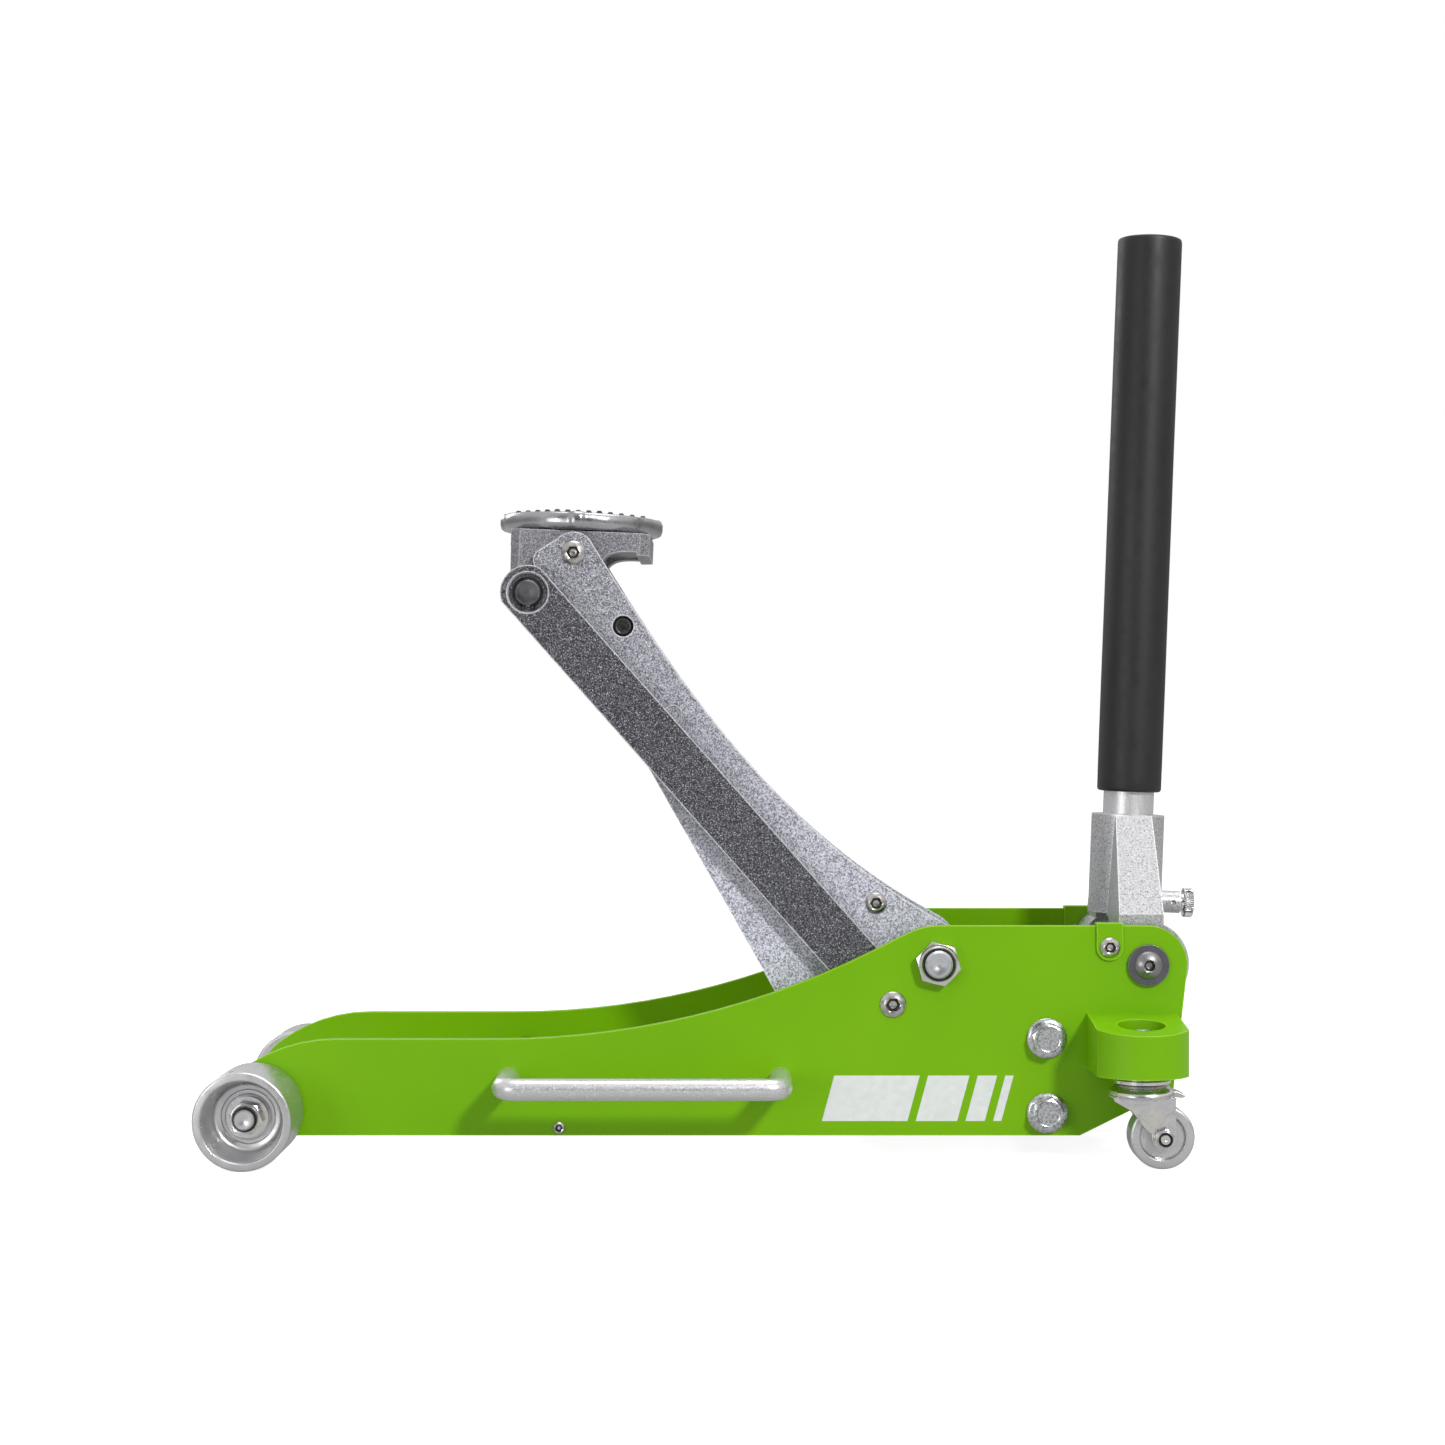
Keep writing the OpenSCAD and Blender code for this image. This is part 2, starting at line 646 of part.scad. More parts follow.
// Steel roller: plain tread, deep cup on the outer face, bored hub
module front_roller() color(satin) at(front_axle_pos) translate([0, roller_in, 0]) turned_y() {
    r = roller_d / 2;
    polygon(concat(
        [[axle_r + running_gap, 0], [r - 1.5, 0], [r, 1.5], [r, roller_w - 2]],
        arc([r - 2, roller_w - 2], 2, 0, 90, 5),
        [[r - 5.3, roller_w], [r - 6.3, roller_w - 1.2]],
        arc([r - 14, roller_floor + 4], 4, 0, -90, 5),
        [[19.5, roller_floor - 0.5], [19, roller_floor - 2], [16.5, roller_floor - 2],
         [16, roller_floor - 0.3], [axle_r + running_gap, roller_floor - 0.3]]
    ));
}

module front_roller_left() on_side(-1) front_roller();
module front_roller_right() on_side(1) front_roller();

// ---- rear casters ----

// D-shaped block with an open pocket over the kingpin nut and a sloping top
module caster_bracket() color(paint_green) difference() {
    translate([bracket_x, plate_out, bracket_bottom]) linear_extrude(bracket_h) union() {
        translate([-bracket_half_w, 0]) square([2 * bracket_half_w, bracket_flat]);
        nose = bracket_reach - bracket_flat;
        nose_circle_r = (bracket_half_w * bracket_half_w + nose * nose) / (2 * nose);
        intersection() {
            translate([0, bracket_reach - nose_circle_r])
                circle(r = nose_circle_r, $fn = round_fn);
            translate([-bracket_half_w, bracket_flat - 1])
                square([2 * bracket_half_w, nose + 2]);
        }
    }
    translate([bracket_x, plate_out, bracket_bottom + bracket_h])
        rotate([-atan(bracket_slope), 0, 0]) translate([-60, -30, 0]) cube([120, 140, 40]);
    translate([kingpin[0], kingpin[1], pocket_floor])
        cylinder(r = pocket_r, h = 60, $fn = round_fn);
    translate([kingpin[0], kingpin[1], 0]) cylinder(r = kingpin_r, h = 100, $fn = round_fn);
    for (x = [-17, 17]) at([kingpin[0] + x, 76]) rod_y(4, plate_out - 1, plate_out + 12);
}

module caster_bracket_left() on_side(-1) caster_bracket();
module caster_bracket_right() on_side(1) caster_bracket();

module at_kingpin() translate([kingpin[0], kingpin[1], 0]) children();

module caster_kingpins() color(zinc) both_sides() at_kingpin() {
    translate([0, 0, 46.6]) cylinder(r = 9.5, h = 3.2, $fn = round_fn);
    translate([0, 0, 49.7]) cylinder(r = kingpin_r, h = 48.5, $fn = round_fn);
}

module kingpin_nuts() color(zinc) both_sides() at_kingpin() difference() {
    translate([0, 0, pocket_floor]) rotate([90, 0, 0]) hex_head(19, 8.5);
    translate([0, 0, pocket_floor - 1]) cylinder(r = kingpin_r, h = 12, $fn = round_fn);
}

module caster_race_washers() color(zinc) both_sides() at_kingpin() difference() {
    union() {
        translate([0, 0, 60.4]) cylinder(r = 20.5, h = 2.6, $fn = round_fn);
        translate([0, 0, 62.9]) cylinder(r = 17, h = bracket_bottom - 62.9, $fn = round_fn);
    }
    translate([0, 0, 50]) cylinder(r = kingpin_r, h = 30, $fn = round_fn);
}

// Pressed fork: dished top plate and two side legs down to the wheel bolt
module caster_fork() color(zinc) translate([0, kingpin[1], 0]) difference() {
    union() {
        translate([kingpin[0], 0, 0]) {
            translate([0, 0, 51]) cylinder(r = 23, h = 4, $fn = round_fn);
            translate([0, 0, 54.9]) cylinder(r = 19, h = 5, $fn = round_fn);
            translate([0, -8, 51]) cube([30, 16, 3]);
        }
        both_sides() plate_xz(fork_in, fork_in + fork_t) union() {
            translate([kingpin[0], 0]) polygon([[-21, 54], [-21, 49], [2, 32],
                [caster_trail - 8, caster_axle[1] + 2], [caster_trail + 6, caster_axle[1] - 4],
                [23, 38], [23, 54]]);
            translate(caster_axle) circle(r = 8.5, $fn = round_fn);
        }
    }
    translate([kingpin[0], 0, 0]) {
        translate([0, 0, 40]) cylinder(r = kingpin_r + running_gap, h = 40, $fn = round_fn);
        translate([0, 0, 40]) cylinder(r = 9.8, h = 10.1, $fn = round_fn);
    }
    at(caster_axle) rod_y(4, -30, 30);
}

module caster_fork_left() on_side(-1) caster_fork();
module caster_fork_right() on_side(1) caster_fork();

module caster_wheel() color(satin) at(caster_axle) translate([0, kingpin[1], 0]) turned_y() {
    r = caster_d / 2;
    w = caster_w / 2;
    polygon(concat(
        [[4 + running_gap, -w - 1], [8, -w - 1], [8, -w + 3], [15.5, -w + 3], [16.5, -w]],
        arc([r - 2, -w + 2], 2, -90, 0, 5),
        arc([r - 2, w - 2], 2, 0, 90, 5),
        [[16.5, w], [15.5, w - 3], [8, w - 3], [8, w + 1], [4 + running_gap, w + 1]]
    ));
}

module caster_wheel_left() on_side(-1) caster_wheel();
module caster_wheel_right() on_side(1) caster_wheel();

// Wheel bolt with its nut on the outer side
module caster_axle_bolt() color(zinc) at(caster_axle) translate([0, kingpin[1], 0]) {
    y = fork_in + fork_t;
    rod_y(4, -y, y + 8);
    translate([0, -y, 0]) mirror([0, 1, 0]) hex_head(13, 5);
    difference() {
        translate([0, y, 0]) rotate([0, 20, 0]) hex_head(13, 6.5);
        rod_y(4, 0, y + 9);
    }
}

module caster_axle_left() on_side(-1) caster_axle_bolt();
module caster_axle_right() on_side(1) caster_axle_bolt();

// ---- yoke and handle ----

// Socket for the handle with two flared arms, pivot ears and cam pins
module yoke_casting() color(cast_silver) difference() {
    union() {
        in_handle() {
            translate([0, 0, socket_t[0]])
                cylinder(r = socket_r, h = socket_t[1] - socket_t[0], $fn = round_fn);
            translate([0, 0, knob_t]) rod_x(8.4, 15, 41.5);
        }
        both_sides() intersection() {
            translate([yoke_pivot[0] - 50, 0, 0]) rotate([90, 0, 90]) linear_extrude(100)
                polygon([[20, 246], [socket_r - 0.5, 246], [ear_out, 176], [ear_out, 105],
                         [ear_in, 105], [ear_in, 162], [30, 171], [20, 171]]);
            union() {
                in_handle() plate_xz(0, 100)
                    polygon([[-13.5, 106.4], [-16.7, 25], [16.7, 25], [13.5, 106.4]]);
                at(yoke_pivot) rod_y(ear_r, 0, 100);
            }
        }
        both_sides() at(cam_pos) rod_y(cam_r, 15, ear_in + 1);
    }
    in_handle() {
        translate([0, 0, tube_bottom_t - 0.2])
            cylinder(r = tube_d / 2 + running_gap, h = 100, $fn = round_fn);
        translate([0, 0, 20]) cylinder(r = 17.6, h = 30, $fn = round_fn);
        translate([0, 0, knob_t]) rod_x(4, 10, 50);
        translate([36, -20, knob_t]) rod_y(2, 0, 21);
    }
    both_sides() at(yoke_pivot) rod_y(8 + running_gap, ear_in + 2, ear_out + 1);
}

module retaining_knob() color(zinc) in_handle() translate([0, 0, knob_t]) {
    rod_x(4 - running_gap, tube_d / 2 + 0.3, 43);
    rod_x(7, 42, 44);
    rod_x(11.4, 43.9, 51.2);
}

// Open tube; its bore is a little narrower where the drive cup's plug fills it
module handle_tube() color(satin) in_handle() translate([0, 0, tube_bottom_t]) difference() {
    cylinder(d = tube_d, h = handle_top_t - tube_bottom_t - 1, $fn = round_fn);
    translate([0, 0, -1]) cylinder(r = plug_r, h = plug_len + 2, $fn = round_fn);
    translate([0, 0, plug_len]) cylinder(d = tube_d - 5, h = handle_top_t, $fn = round_fn);
}

module handle_grip() color(foam_black) in_handle() rotate_extrude($fn = round_fn)
    polygon(concat(
        [[tube_d / 2, grip_bottom_t], [grip_d / 2 - 0.8, grip_bottom_t],
         [grip_d / 2, grip_bottom_t + 0.8]],
        arc([grip_d / 2 - 2.5, handle_top_t - 2.5], 2.5, 0, 90, 5),
        [[tube_d / 2, handle_top_t]]
    ));

// Cup on the handle's foot that turns the release spindle's ball head
module drive_cup() color(dark_steel) in_handle() difference() {
    union() {
        intersection() {
            sphere(r = 17, $fn = round_fn);
            translate([0, 0, 3]) cylinder(r = 20, h = 20, $fn = round_fn);
        }
        cylinder(r = 9, h = tube_bottom_t + 1, $fn = round_fn);
        translate([0, 0, tube_bottom_t]) cylinder(r = plug_r, h = plug_len, $fn = round_fn);
    }
    sphere(r = 13.7, $fn = round_fn);
    translate([0, 0, -1]) cylinder(r = 13, h = 4, $fn = round_fn);
}

side_plate_left();
side_plate_right();
front_tie_bar();
front_axle();
front_axle_washers();
front_axle_nuts();
front_roller_left();
front_roller_right();
caster_bracket_left();
caster_bracket_right();
caster_kingpins();
kingpin_nuts();
caster_race_washers();
caster_fork_left();
caster_fork_right();
caster_wheel_left();
caster_wheel_right();
caster_axle_left();
caster_axle_right();
grab_handle_left();
grab_handle_right();
inner_screws();
frame_button_screws();
main_shaft();
main_shaft_nuts();
pivot_spacers();
link_lower_pins();
pump_block();
ram_cylinder();
reservoir_tank();
unit_bolts();
clip_brackets();
yoke_pivot_screws();
yoke_pivot_washers();
lift_arm_left();
lift_arm_right();
arm_pivot_sleeve();
arm_cross_tubes();
arm_button_screws();
arm_set_screws();
lever_pin();
link_bar_left();
link_bar_right();
saddle_bracket();
arm_top_screws();
link_top_pin();
link_pin_circlips();
saddle();
saddle_pad();
ram_rod();
crosshead();
return_springs();
pump_plungers();
plunger_springs();
release_spindle();
yoke_casting();
retaining_knob();
handle_tube();
handle_grip();
drive_cup();
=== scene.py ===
"""The trolley jack's looks: camera, light, floor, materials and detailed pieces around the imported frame."""

import json
import math

import bmesh
import bpy
from mathutils import Matrix, Vector, noise


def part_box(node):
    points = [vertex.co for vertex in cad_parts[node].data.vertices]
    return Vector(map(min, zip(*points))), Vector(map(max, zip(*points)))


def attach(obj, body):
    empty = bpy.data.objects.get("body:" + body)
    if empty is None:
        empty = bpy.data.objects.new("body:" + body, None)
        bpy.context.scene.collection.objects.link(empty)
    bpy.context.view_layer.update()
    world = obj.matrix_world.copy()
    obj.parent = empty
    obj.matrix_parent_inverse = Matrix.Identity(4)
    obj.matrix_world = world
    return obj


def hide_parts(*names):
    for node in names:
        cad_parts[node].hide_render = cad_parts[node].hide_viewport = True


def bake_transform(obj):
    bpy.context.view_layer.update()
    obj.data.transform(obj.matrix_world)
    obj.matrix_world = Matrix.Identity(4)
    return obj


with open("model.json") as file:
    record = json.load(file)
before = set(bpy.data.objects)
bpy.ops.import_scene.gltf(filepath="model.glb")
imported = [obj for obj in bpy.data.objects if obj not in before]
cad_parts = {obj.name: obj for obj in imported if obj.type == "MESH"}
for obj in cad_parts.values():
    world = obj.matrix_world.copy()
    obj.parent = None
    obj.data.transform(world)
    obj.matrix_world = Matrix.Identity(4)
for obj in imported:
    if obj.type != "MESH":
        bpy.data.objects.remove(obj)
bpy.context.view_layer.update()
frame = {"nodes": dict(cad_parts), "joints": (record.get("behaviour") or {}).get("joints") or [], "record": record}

MM = 0.001
RECORD = frame["record"]
JOINTS = {joint["name"]: joint for joint in frame["joints"]}
SIDES = {"left": -1, "right": 1}
SWAP_YZ = Matrix(((1, 0, 0, 0), (0, 0, 1, 0), (0, 1, 0, 0), (0, 0, 0, 1)))


# ---- places taken from the frame ----

def joint_point(name):
    return Vector(JOINTS[name]["pos_m"])


def joint_axis(name):
    return Vector(JOINTS[name]["axis"]).normalized()


def node_middle(name):
    low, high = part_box(name)
    return (low + high) / 2


def node_reach(name):
    """How far a node made of a left and a right piece reaches from the middle plane."""
    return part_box(name)[1].y


PLATE_OUT = node_reach("side_plate_right")
MAIN_PIVOT = joint_point("lift_arm")
ARM_TOP = joint_point("saddle_level")
LINK_LOW = joint_point("link_bars")
LINK_TOP = LINK_LOW + ARM_TOP - MAIN_PIVOT
ARM_ALONG = (ARM_TOP - MAIN_PIVOT).normalized()
ARM_ACROSS = Vector((-ARM_ALONG.z, 0, ARM_ALONG.x))
ARM_HOLE = MAIN_PIVOT + 262.7 * MM * ARM_ALONG + 23.9 * MM * ARM_ACROSS
ARM_HOLE_R = 5.95
SADDLE_AXIS = joint_axis("saddle_swivel")
HANDLE_AXIS = joint_axis("handle_twist")
HANDLE_FOOT = joint_point("handle_twist")


# ---- camera, light and floor ----

def add_camera():
    """A level camera that looks along +Y at the jack's left side."""
    data = bpy.data.cameras.new("camera")
    data.sensor_width = 36.0
    data.lens = 61.885
    camera = bpy.data.objects.new("camera", data)
    camera.location = (0.008, -1.8875, 0.3158)
    camera.rotation_euler = (math.radians(90), 0, 0)
    bpy.context.scene.collection.objects.link(camera)
    bpy.context.scene.camera = camera


def add_area_light(name, place, target, size, power):
    data = bpy.data.lights.new(name, "AREA")
    data.shape = "DISK"
    data.size = size
    data.energy = power
    light = bpy.data.objects.new(name, data)
    light.location = place
    aim = Vector(target) - Vector(place)
    light.rotation_euler = aim.to_track_quat("-Z", "Y").to_euler()
    bpy.context.scene.collection.objects.link(light)


def add_world():
    """A white studio that dims towards the floor, plain white where the camera sees it."""
    world = bpy.data.worlds.new("studio")
    bpy.context.scene.world = world
    world.use_nodes = True
    tree = world.node_tree
    tree.nodes.clear()
    coords = tree.nodes.new("ShaderNodeTexCoord")
    split = tree.nodes.new("ShaderNodeSeparateXYZ")
    ramp = tree.nodes.new("ShaderNodeValToRGB")
    stops = ((0.0, 0.50), (0.42, 0.30), (0.55, 0.36), (0.68, 0.95), (1.0, 0.88))
    elements = ramp.color_ramp.elements
    while len(elements) < len(stops):
        elements.new(0.5)
    for element, (place, level) in zip(elements, stops):
        element.position = place
        element.color = (level, level, level, 1)
    scale = tree.nodes.new("ShaderNodeMapRange")
    scale.inputs["From Min"].default_value = -1
    front = tree.nodes.new("ShaderNodeMapRange")
    front.interpolation_type = "SMOOTHSTEP"
    for key, number in (("From Min", -1.0), ("From Max", -0.55), ("To Min", 0.22), ("To Max", 1.0)):
        front.inputs[key].default_value = number
    dim = tree.nodes.new("ShaderNodeVectorMath")
    dim.operation = "SCALE"
    soft = tree.nodes.new("ShaderNodeBackground")
    soft.inputs["Strength"].default_value = 0.85
    white = tree.nodes.new("ShaderNodeBackground")
    white.inputs["Strength"].default_value = 1.0
    white.inputs["Color"].default_value = (1, 1, 1, 1)
    path = tree.nodes.new("ShaderNodeLightPath")
    mix = tree.nodes.new("ShaderNodeMixShader")
    output = tree.nodes.new("ShaderNodeOutputWorld")
    link = tree.links.new
    link(coords.outputs["Generated"], split.inputs[0])
    link(split.outputs["Z"], scale.inputs["Value"])
    link(scale.outputs[0], ramp.inputs["Fac"])
    link(split.outputs["Y"], front.inputs["Value"])
    link(ramp.outputs["Color"], dim.inputs[0])
    link(front.outputs[0], dim.inputs["Scale"])
    link(dim.outputs[0], soft.inputs["Color"])
    link(path.outputs["Is Camera Ray"], mix.inputs["Fac"])
    link(soft.outputs[0], mix.inputs[1])
    link(white.outputs[0], mix.inputs[2])
    link(mix.outputs[0], output.inputs["Surface"])


def add_studio():
    add_world()
    add_area_light("key_light", (2.0, -3.6, 2.5), (0, 0, 0.2), 0.55, 118)
    add_area_light("front_fill", (-1.7, -2.3, 0.35), (-0.1, 0, 0.1), 1.3, 15)
    add_area_light("top_light", (0.2, 0.2, 3.0), (0, 0, 0.2), 2.2, 34)
    add_area_light("rim_light", (-2.2, 2.4, 1.8), (0, 0, 0.3), 1.4, 18)
    scene = bpy.context.scene
    scene.view_settings.view_transform = "Standard"
    scene.view_settings.look = "None"


# ---- materials ----

class Look:
    """A Principled material, with short calls that add nodes to it."""

    def __init__(self, name, color, metallic=0.0, roughness=0.5, **uniform):
        self.mat = bpy.data.materials.new(name)
        self.mat.use_nodes = True
        self.mat.diffuse_color = (*color, 1)
        self.tree = self.mat.node_tree
        self.bsdf = self.tree.nodes["Principled BSDF"]
        self.set("Base Color", (*color, 1))
        self.set("Metallic", metallic)
        self.set("Roughness", roughness)
        for key, value in uniform.items():
            self.set(key.replace("_", " "), value)
        coords = self.tree.nodes.new("ShaderNodeTexCoord")
        self.point = coords.outputs["Object"]

    def set(self, socket, value):
        self.bsdf.inputs[socket].default_value = value

    def link(self, output, socket):
        self.tree.links.new(output, self.bsdf.inputs[socket])

    def feed(self, value, socket):
        """Links an output to a socket, or sets the socket to a number or colour."""
        if hasattr(value, "is_output"):
            self.tree.links.new(value, socket)
        elif isinstance(value, tuple) and len(value) == 3 and socket.type == "RGBA":
            socket.default_value = (*value, 1)
        else:
            socket.default_value = value

    def math(self, operation, a, b=0.0):
        node = self.tree.nodes.new("ShaderNodeMath")
        node.operation = operation
        self.feed(a, node.inputs[0])
        self.feed(b, node.inputs[1])
        return node.outputs[0]

    def vector(self, operation, a, b):
        node = self.tree.nodes.new("ShaderNodeVectorMath")
        node.operation = operation
        self.feed(a, node.inputs[0])
        self.feed(b, node.inputs[1])
        return node.outputs["Value" if operation in ("LENGTH", "DOT_PRODUCT") else "Vector"]

    def noise(self, scale, detail=2.0, stretch=None, where=None):
        node = self.tree.nodes.new("ShaderNodeTexNoise")
        node.inputs["Scale"].default_value = scale
        node.inputs["Detail"].default_value = detail
        where = where or self.point
        if stretch:
            where = self.vector("MULTIPLY", where, stretch)
        self.feed(where, node.inputs["Vector"])
        return node.outputs["Fac"]

    def drift(self, scale, detail, low, high, dark, pale):
        """Base colour that drifts between two shades with a noise."""
        shade = self.span(self.noise(scale, detail), low, high)
        self.link(self.blend(shade, dark, pale), "Base Color")

    def span(self, value, low, high, out_low=0.0, out_high=1.0):
        node = self.tree.nodes.new("ShaderNodeMapRange")
        self.feed(value, node.inputs["Value"])
        for key, number in (("From Min", low), ("From Max", high), ("To Min", out_low), ("To Max", out_high)):
            node.inputs[key].default_value = number
        return node.outputs[0]

    def blend(self, factor, a, b):
        node = self.tree.nodes.new("ShaderNodeMix")
        node.data_type = "RGBA"
        self.feed(factor, node.inputs["Factor"])
        self.feed(a, node.inputs[6])
        self.feed(b, node.inputs[7])
        return node.outputs[2]

    def edges(self, radius):
        """0 on flat ground, towards 1 on edges sharper than the radius."""
        bevel = self.tree.nodes.new("ShaderNodeBevel")
        bevel.samples = 4
        bevel.inputs["Radius"].default_value = radius
        geometry = self.tree.nodes.new("ShaderNodeNewGeometry")
        facing = self.vector("DOT_PRODUCT", bevel.outputs["Normal"], geometry.outputs["Normal"])
        return self.span(facing, 0.995, 0.90)

    def rings(self, centre):
        """Distance from an axis along Y through the centre."""
        offset = self.vector("SUBTRACT", self.point, tuple(centre))
        flat = self.vector("MULTIPLY", offset, (1, 0, 1))
        return self.vector("LENGTH", flat, (0, 0, 0))

    def bump(self, height, strength, distance, normal=None):
        node = self.tree.nodes.new("ShaderNodeBump")
        node.inputs["Strength"].default_value = strength
        node.inputs["Distance"].default_value = distance
        self.feed(height, node.inputs["Height"])
        if normal:
            self.feed(normal, node.inputs["Normal"])
        return node.outputs["Normal"]


def green_paint():
    """Smooth powder coat: slight orange peel, a broad random tint, and edges painted paler as a painted highlight.
    """
    look = Look("green_paint", (0.165, 0.415, 0.0), roughness=0.34, Specular_IOR_Level=0.22)
    broad = look.noise(7, 3)
    tint = look.blend(look.span(broad, 0.3, 0.7), (0.152, 0.400, 0.0), (0.176, 0.432, 0.0))
    # Painted highlight: the edges are painted a paler, brighter green.
    edge_wear_and_highlight = look.edges(1.2 * MM)
    look.link(look.blend(look.math("MULTIPLY", edge_wear_and_highlight, 0.8), tint, (0.50, 0.78, 0.06)), "Base Color")
    look.link(look.span(look.noise(60, 4), 0.3, 0.7, 0.29, 0.40), "Roughness")
    look.link(look.bump(look.noise(520, 1), 0.10, 0.3 * MM), "Normal")
    return look.mat


def sparkle(name, low, high, fleck, fleck_at, grain, edge_highlight_color, metallic, roughness, top=1.0):
    """Metallic powder coat: a coarse mottle, bright flecks and edges painted pale as a painted highlight.

    Painted shade: the colour is scaled darker towards the top and lighter towards the bottom, by the share given
    last.
    """
    look = Look(name, high, metallic=metallic, roughness=roughness)
    mottle = look.span(look.noise(grain, 3), 0.41, 0.59)
    base = look.blend(mottle, low, high)
    # Painted shade: the base colour is scaled lighter low down and darker high up, by the share given last.
    height = look.tree.nodes.new("ShaderNodeSeparateXYZ")
    look.feed(look.point, height.inputs[0])
    dark = look.span(height.outputs["Z"], 0.15, 0.44, 2.0 - top if top < 1 else 1.0, top)
    scaled = look.tree.nodes.new("ShaderNodeVectorMath")
    scaled.operation = "SCALE"
    look.feed(base, scaled.inputs[0])
    look.feed(dark, scaled.inputs["Scale"])
    base = scaled.outputs["Vector"]
    glint = look.span(look.noise(grain * 1.7, 2), fleck_at, fleck_at + 0.06)
    base = look.blend(glint, base, fleck)
    shade = look.blend(look.span(look.noise(9, 2), 0.3, 0.7), (0.90, 0.90, 0.91), (1.0, 1.0, 1.0))
    mix = look.tree.nodes.new("ShaderNodeMix")
    mix.data_type = "RGBA"
    mix.blend_type = "MULTIPLY"
    mix.inputs["Factor"].default_value = 1.0
    look.feed(base, mix.inputs[6])
    look.feed(shade, mix.inputs[7])
    # Painted highlight: the edges are painted in the edge highlight colour, white on the arm and the link bars.
    edge = look.math("MULTIPLY", look.edges(1.8 * MM), 1.0)
    look.link(look.blend(edge, mix.outputs[2], edge_highlight_color), "Base Color")
    look.link(look.span(look.noise(grain, 2), 0.3, 0.7, roughness - 0.12, roughness + 0.14), "Roughness")
    look.link(look.bump(look.noise(grain * 0.8, 3), 0.45, 0.25 * MM), "Normal")
    return look.mat


def cast_silver():
    """Cast and tumbled aluminium with a fine sand grain."""
    look = Look("cast_silver", (0.52, 0.52, 0.53), metallic=0.85, roughness=0.42)
    broad = look.blend(look.span(look.noise(26, 4), 0.3, 0.7), (0.46, 0.46, 0.47), (0.58, 0.58, 0.59))
    # Painted highlight: the edges are painted a paler silver.
    edge = look.math("MULTIPLY", look.edges(1.0 * MM), 0.5)
    look.link(look.blend(edge, broad, (0.82, 0.82, 0.83)), "Base Color")
    look.link(look.span(look.noise(340, 3), 0.3, 0.7, 0.33, 0.52), "Roughness")
    sand = look.bump(look.noise(620, 2), 0.30, 0.2 * MM)
    look.link(look.bump(look.noise(45, 2), 0.25, 1.2 * MM, sand), "Normal")
    return look.mat


def turned_metal(name, centre, color, pitch=1500):
    """Lathe-turned aluminium: fine rings about an axle, lightly scuffed."""
    look = Look(name, color, metallic=0.9, roughness=0.30)
    ring_noise = look.tree.nodes.new("ShaderNodeTexNoise")
    ring_noise.noise_dimensions = "1D"
    ring_noise.inputs["Scale"].default_value = pitch
    ring_noise.inputs["Detail"].default_value = 2
    look.feed(look.rings(centre), ring_noise.inputs["W"])
    rings = ring_noise.outputs["Fac"]
    tone = look.blend(look.span(rings, 0.3, 0.7), tuple(c * 0.84 for c in color), color)
    # Painted highlight: the edges are painted near white.
    edge = look.math("MULTIPLY", look.edges(0.5 * MM), 0.6)
    look.link(look.blend(edge, tone, (0.93, 0.93, 0.93)), "Base Color")
    scuffs = look.noise(150, 4, (1, 0.4, 1))
    look.link(look.span(scuffs, 0.3, 0.75, 0.24, 0.46), "Roughness")
    look.link(look.bump(rings, 0.06, 0.12 * MM), "Normal")
    return look.mat


def satin_rod(name, color, stretch, roughness=0.34):
    """Drawn aluminium with a bead-blasted grain and faint lines along it."""
    look = Look(name, color, metallic=0.8, roughness=roughness)
    lines = look.noise(900, 2, stretch)
    grain = look.noise(850, 2)
    tone = look.blend(look.span(lines, 0.3, 0.7), tuple(c * 0.88 for c in color), color)
    look.link(look.blend(look.span(grain, 0.60, 0.70), tone, (0.92, 0.92, 0.93)), "Base Color")
    look.link(look.span(grain, 0.3, 0.7, roughness - 0.08, roughness + 0.10), "Roughness")
    look.link(look.bump(grain, 0.22, 0.15 * MM), "Normal")
    return look.mat


def zinc_plate():
    """Bright zinc: cool steel with a faint warm and violet bloom and small handling marks."""
    look = Look("zinc_plate", (0.66, 0.67, 0.69), metallic=1.0, roughness=0.22)
    bloom = look.blend(look.span(look.noise(75, 2), 0.35, 0.65), (0.66, 0.66, 0.71), (0.74, 0.72, 0.66))
    dull = look.span(look.noise(210, 4), 0.56, 0.74)
    look.link(look.blend(look.math("MULTIPLY", dull, 0.5), bloom, (0.42, 0.42, 0.44)), "Base Color")
    look.link(look.span(look.noise(130, 4), 0.3, 0.75, 0.14, 0.36), "Roughness")
    look.link(look.bump(look.noise(420, 3), 0.14, 0.15 * MM), "Normal")
    return look.mat


def saddle_metal():
    """Tumbled and polished cast aluminium, wavy enough to break its reflections."""
    look = Look("saddle_metal", (0.42, 0.42, 0.43), metallic=1.0, roughness=0.26)
    tone = look.blend(look.span(look.noise(30, 3), 0.3, 0.7), (0.34, 0.34, 0.36), (0.50, 0.50, 0.51))
    # Painted highlight: the edges are painted a paler metal.
    edge = look.math("MULTIPLY", look.edges(1.0 * MM), 0.4)
    look.link(look.blend(edge, tone, (0.72, 0.72, 0.73)), "Base Color")
    look.link(look.span(look.noise(210, 3), 0.3, 0.7, 0.18, 0.34), "Roughness")
    fine = look.bump(look.noise(480, 2), 0.10, 0.15 * MM)
    look.link(look.bump(look.noise(38, 2), 0.35, 1.5 * MM, fine), "Normal")
    return look.mat


def plain_steel():
    """Ground steel with a film of oil."""
    look = Look("plain_steel", (0.40, 0.40, 0.41), metallic=1.0, roughness=0.30, Coat_Weight=0.2)
    tone = look.blend(look.span(look.noise(48, 3), 0.3, 0.7), (0.30, 0.30, 0.31), (0.46, 0.46, 0.46))
    look.link(tone, "Base Color")
    look.link(look.span(look.noise(260, 3), 0.3, 0.7, 0.22, 0.40), "Roughness")
    look.link(look.bump(look.noise(700, 2, (1, 0.15, 1)), 0.12, 0.1 * MM), "Normal")
    return look.mat


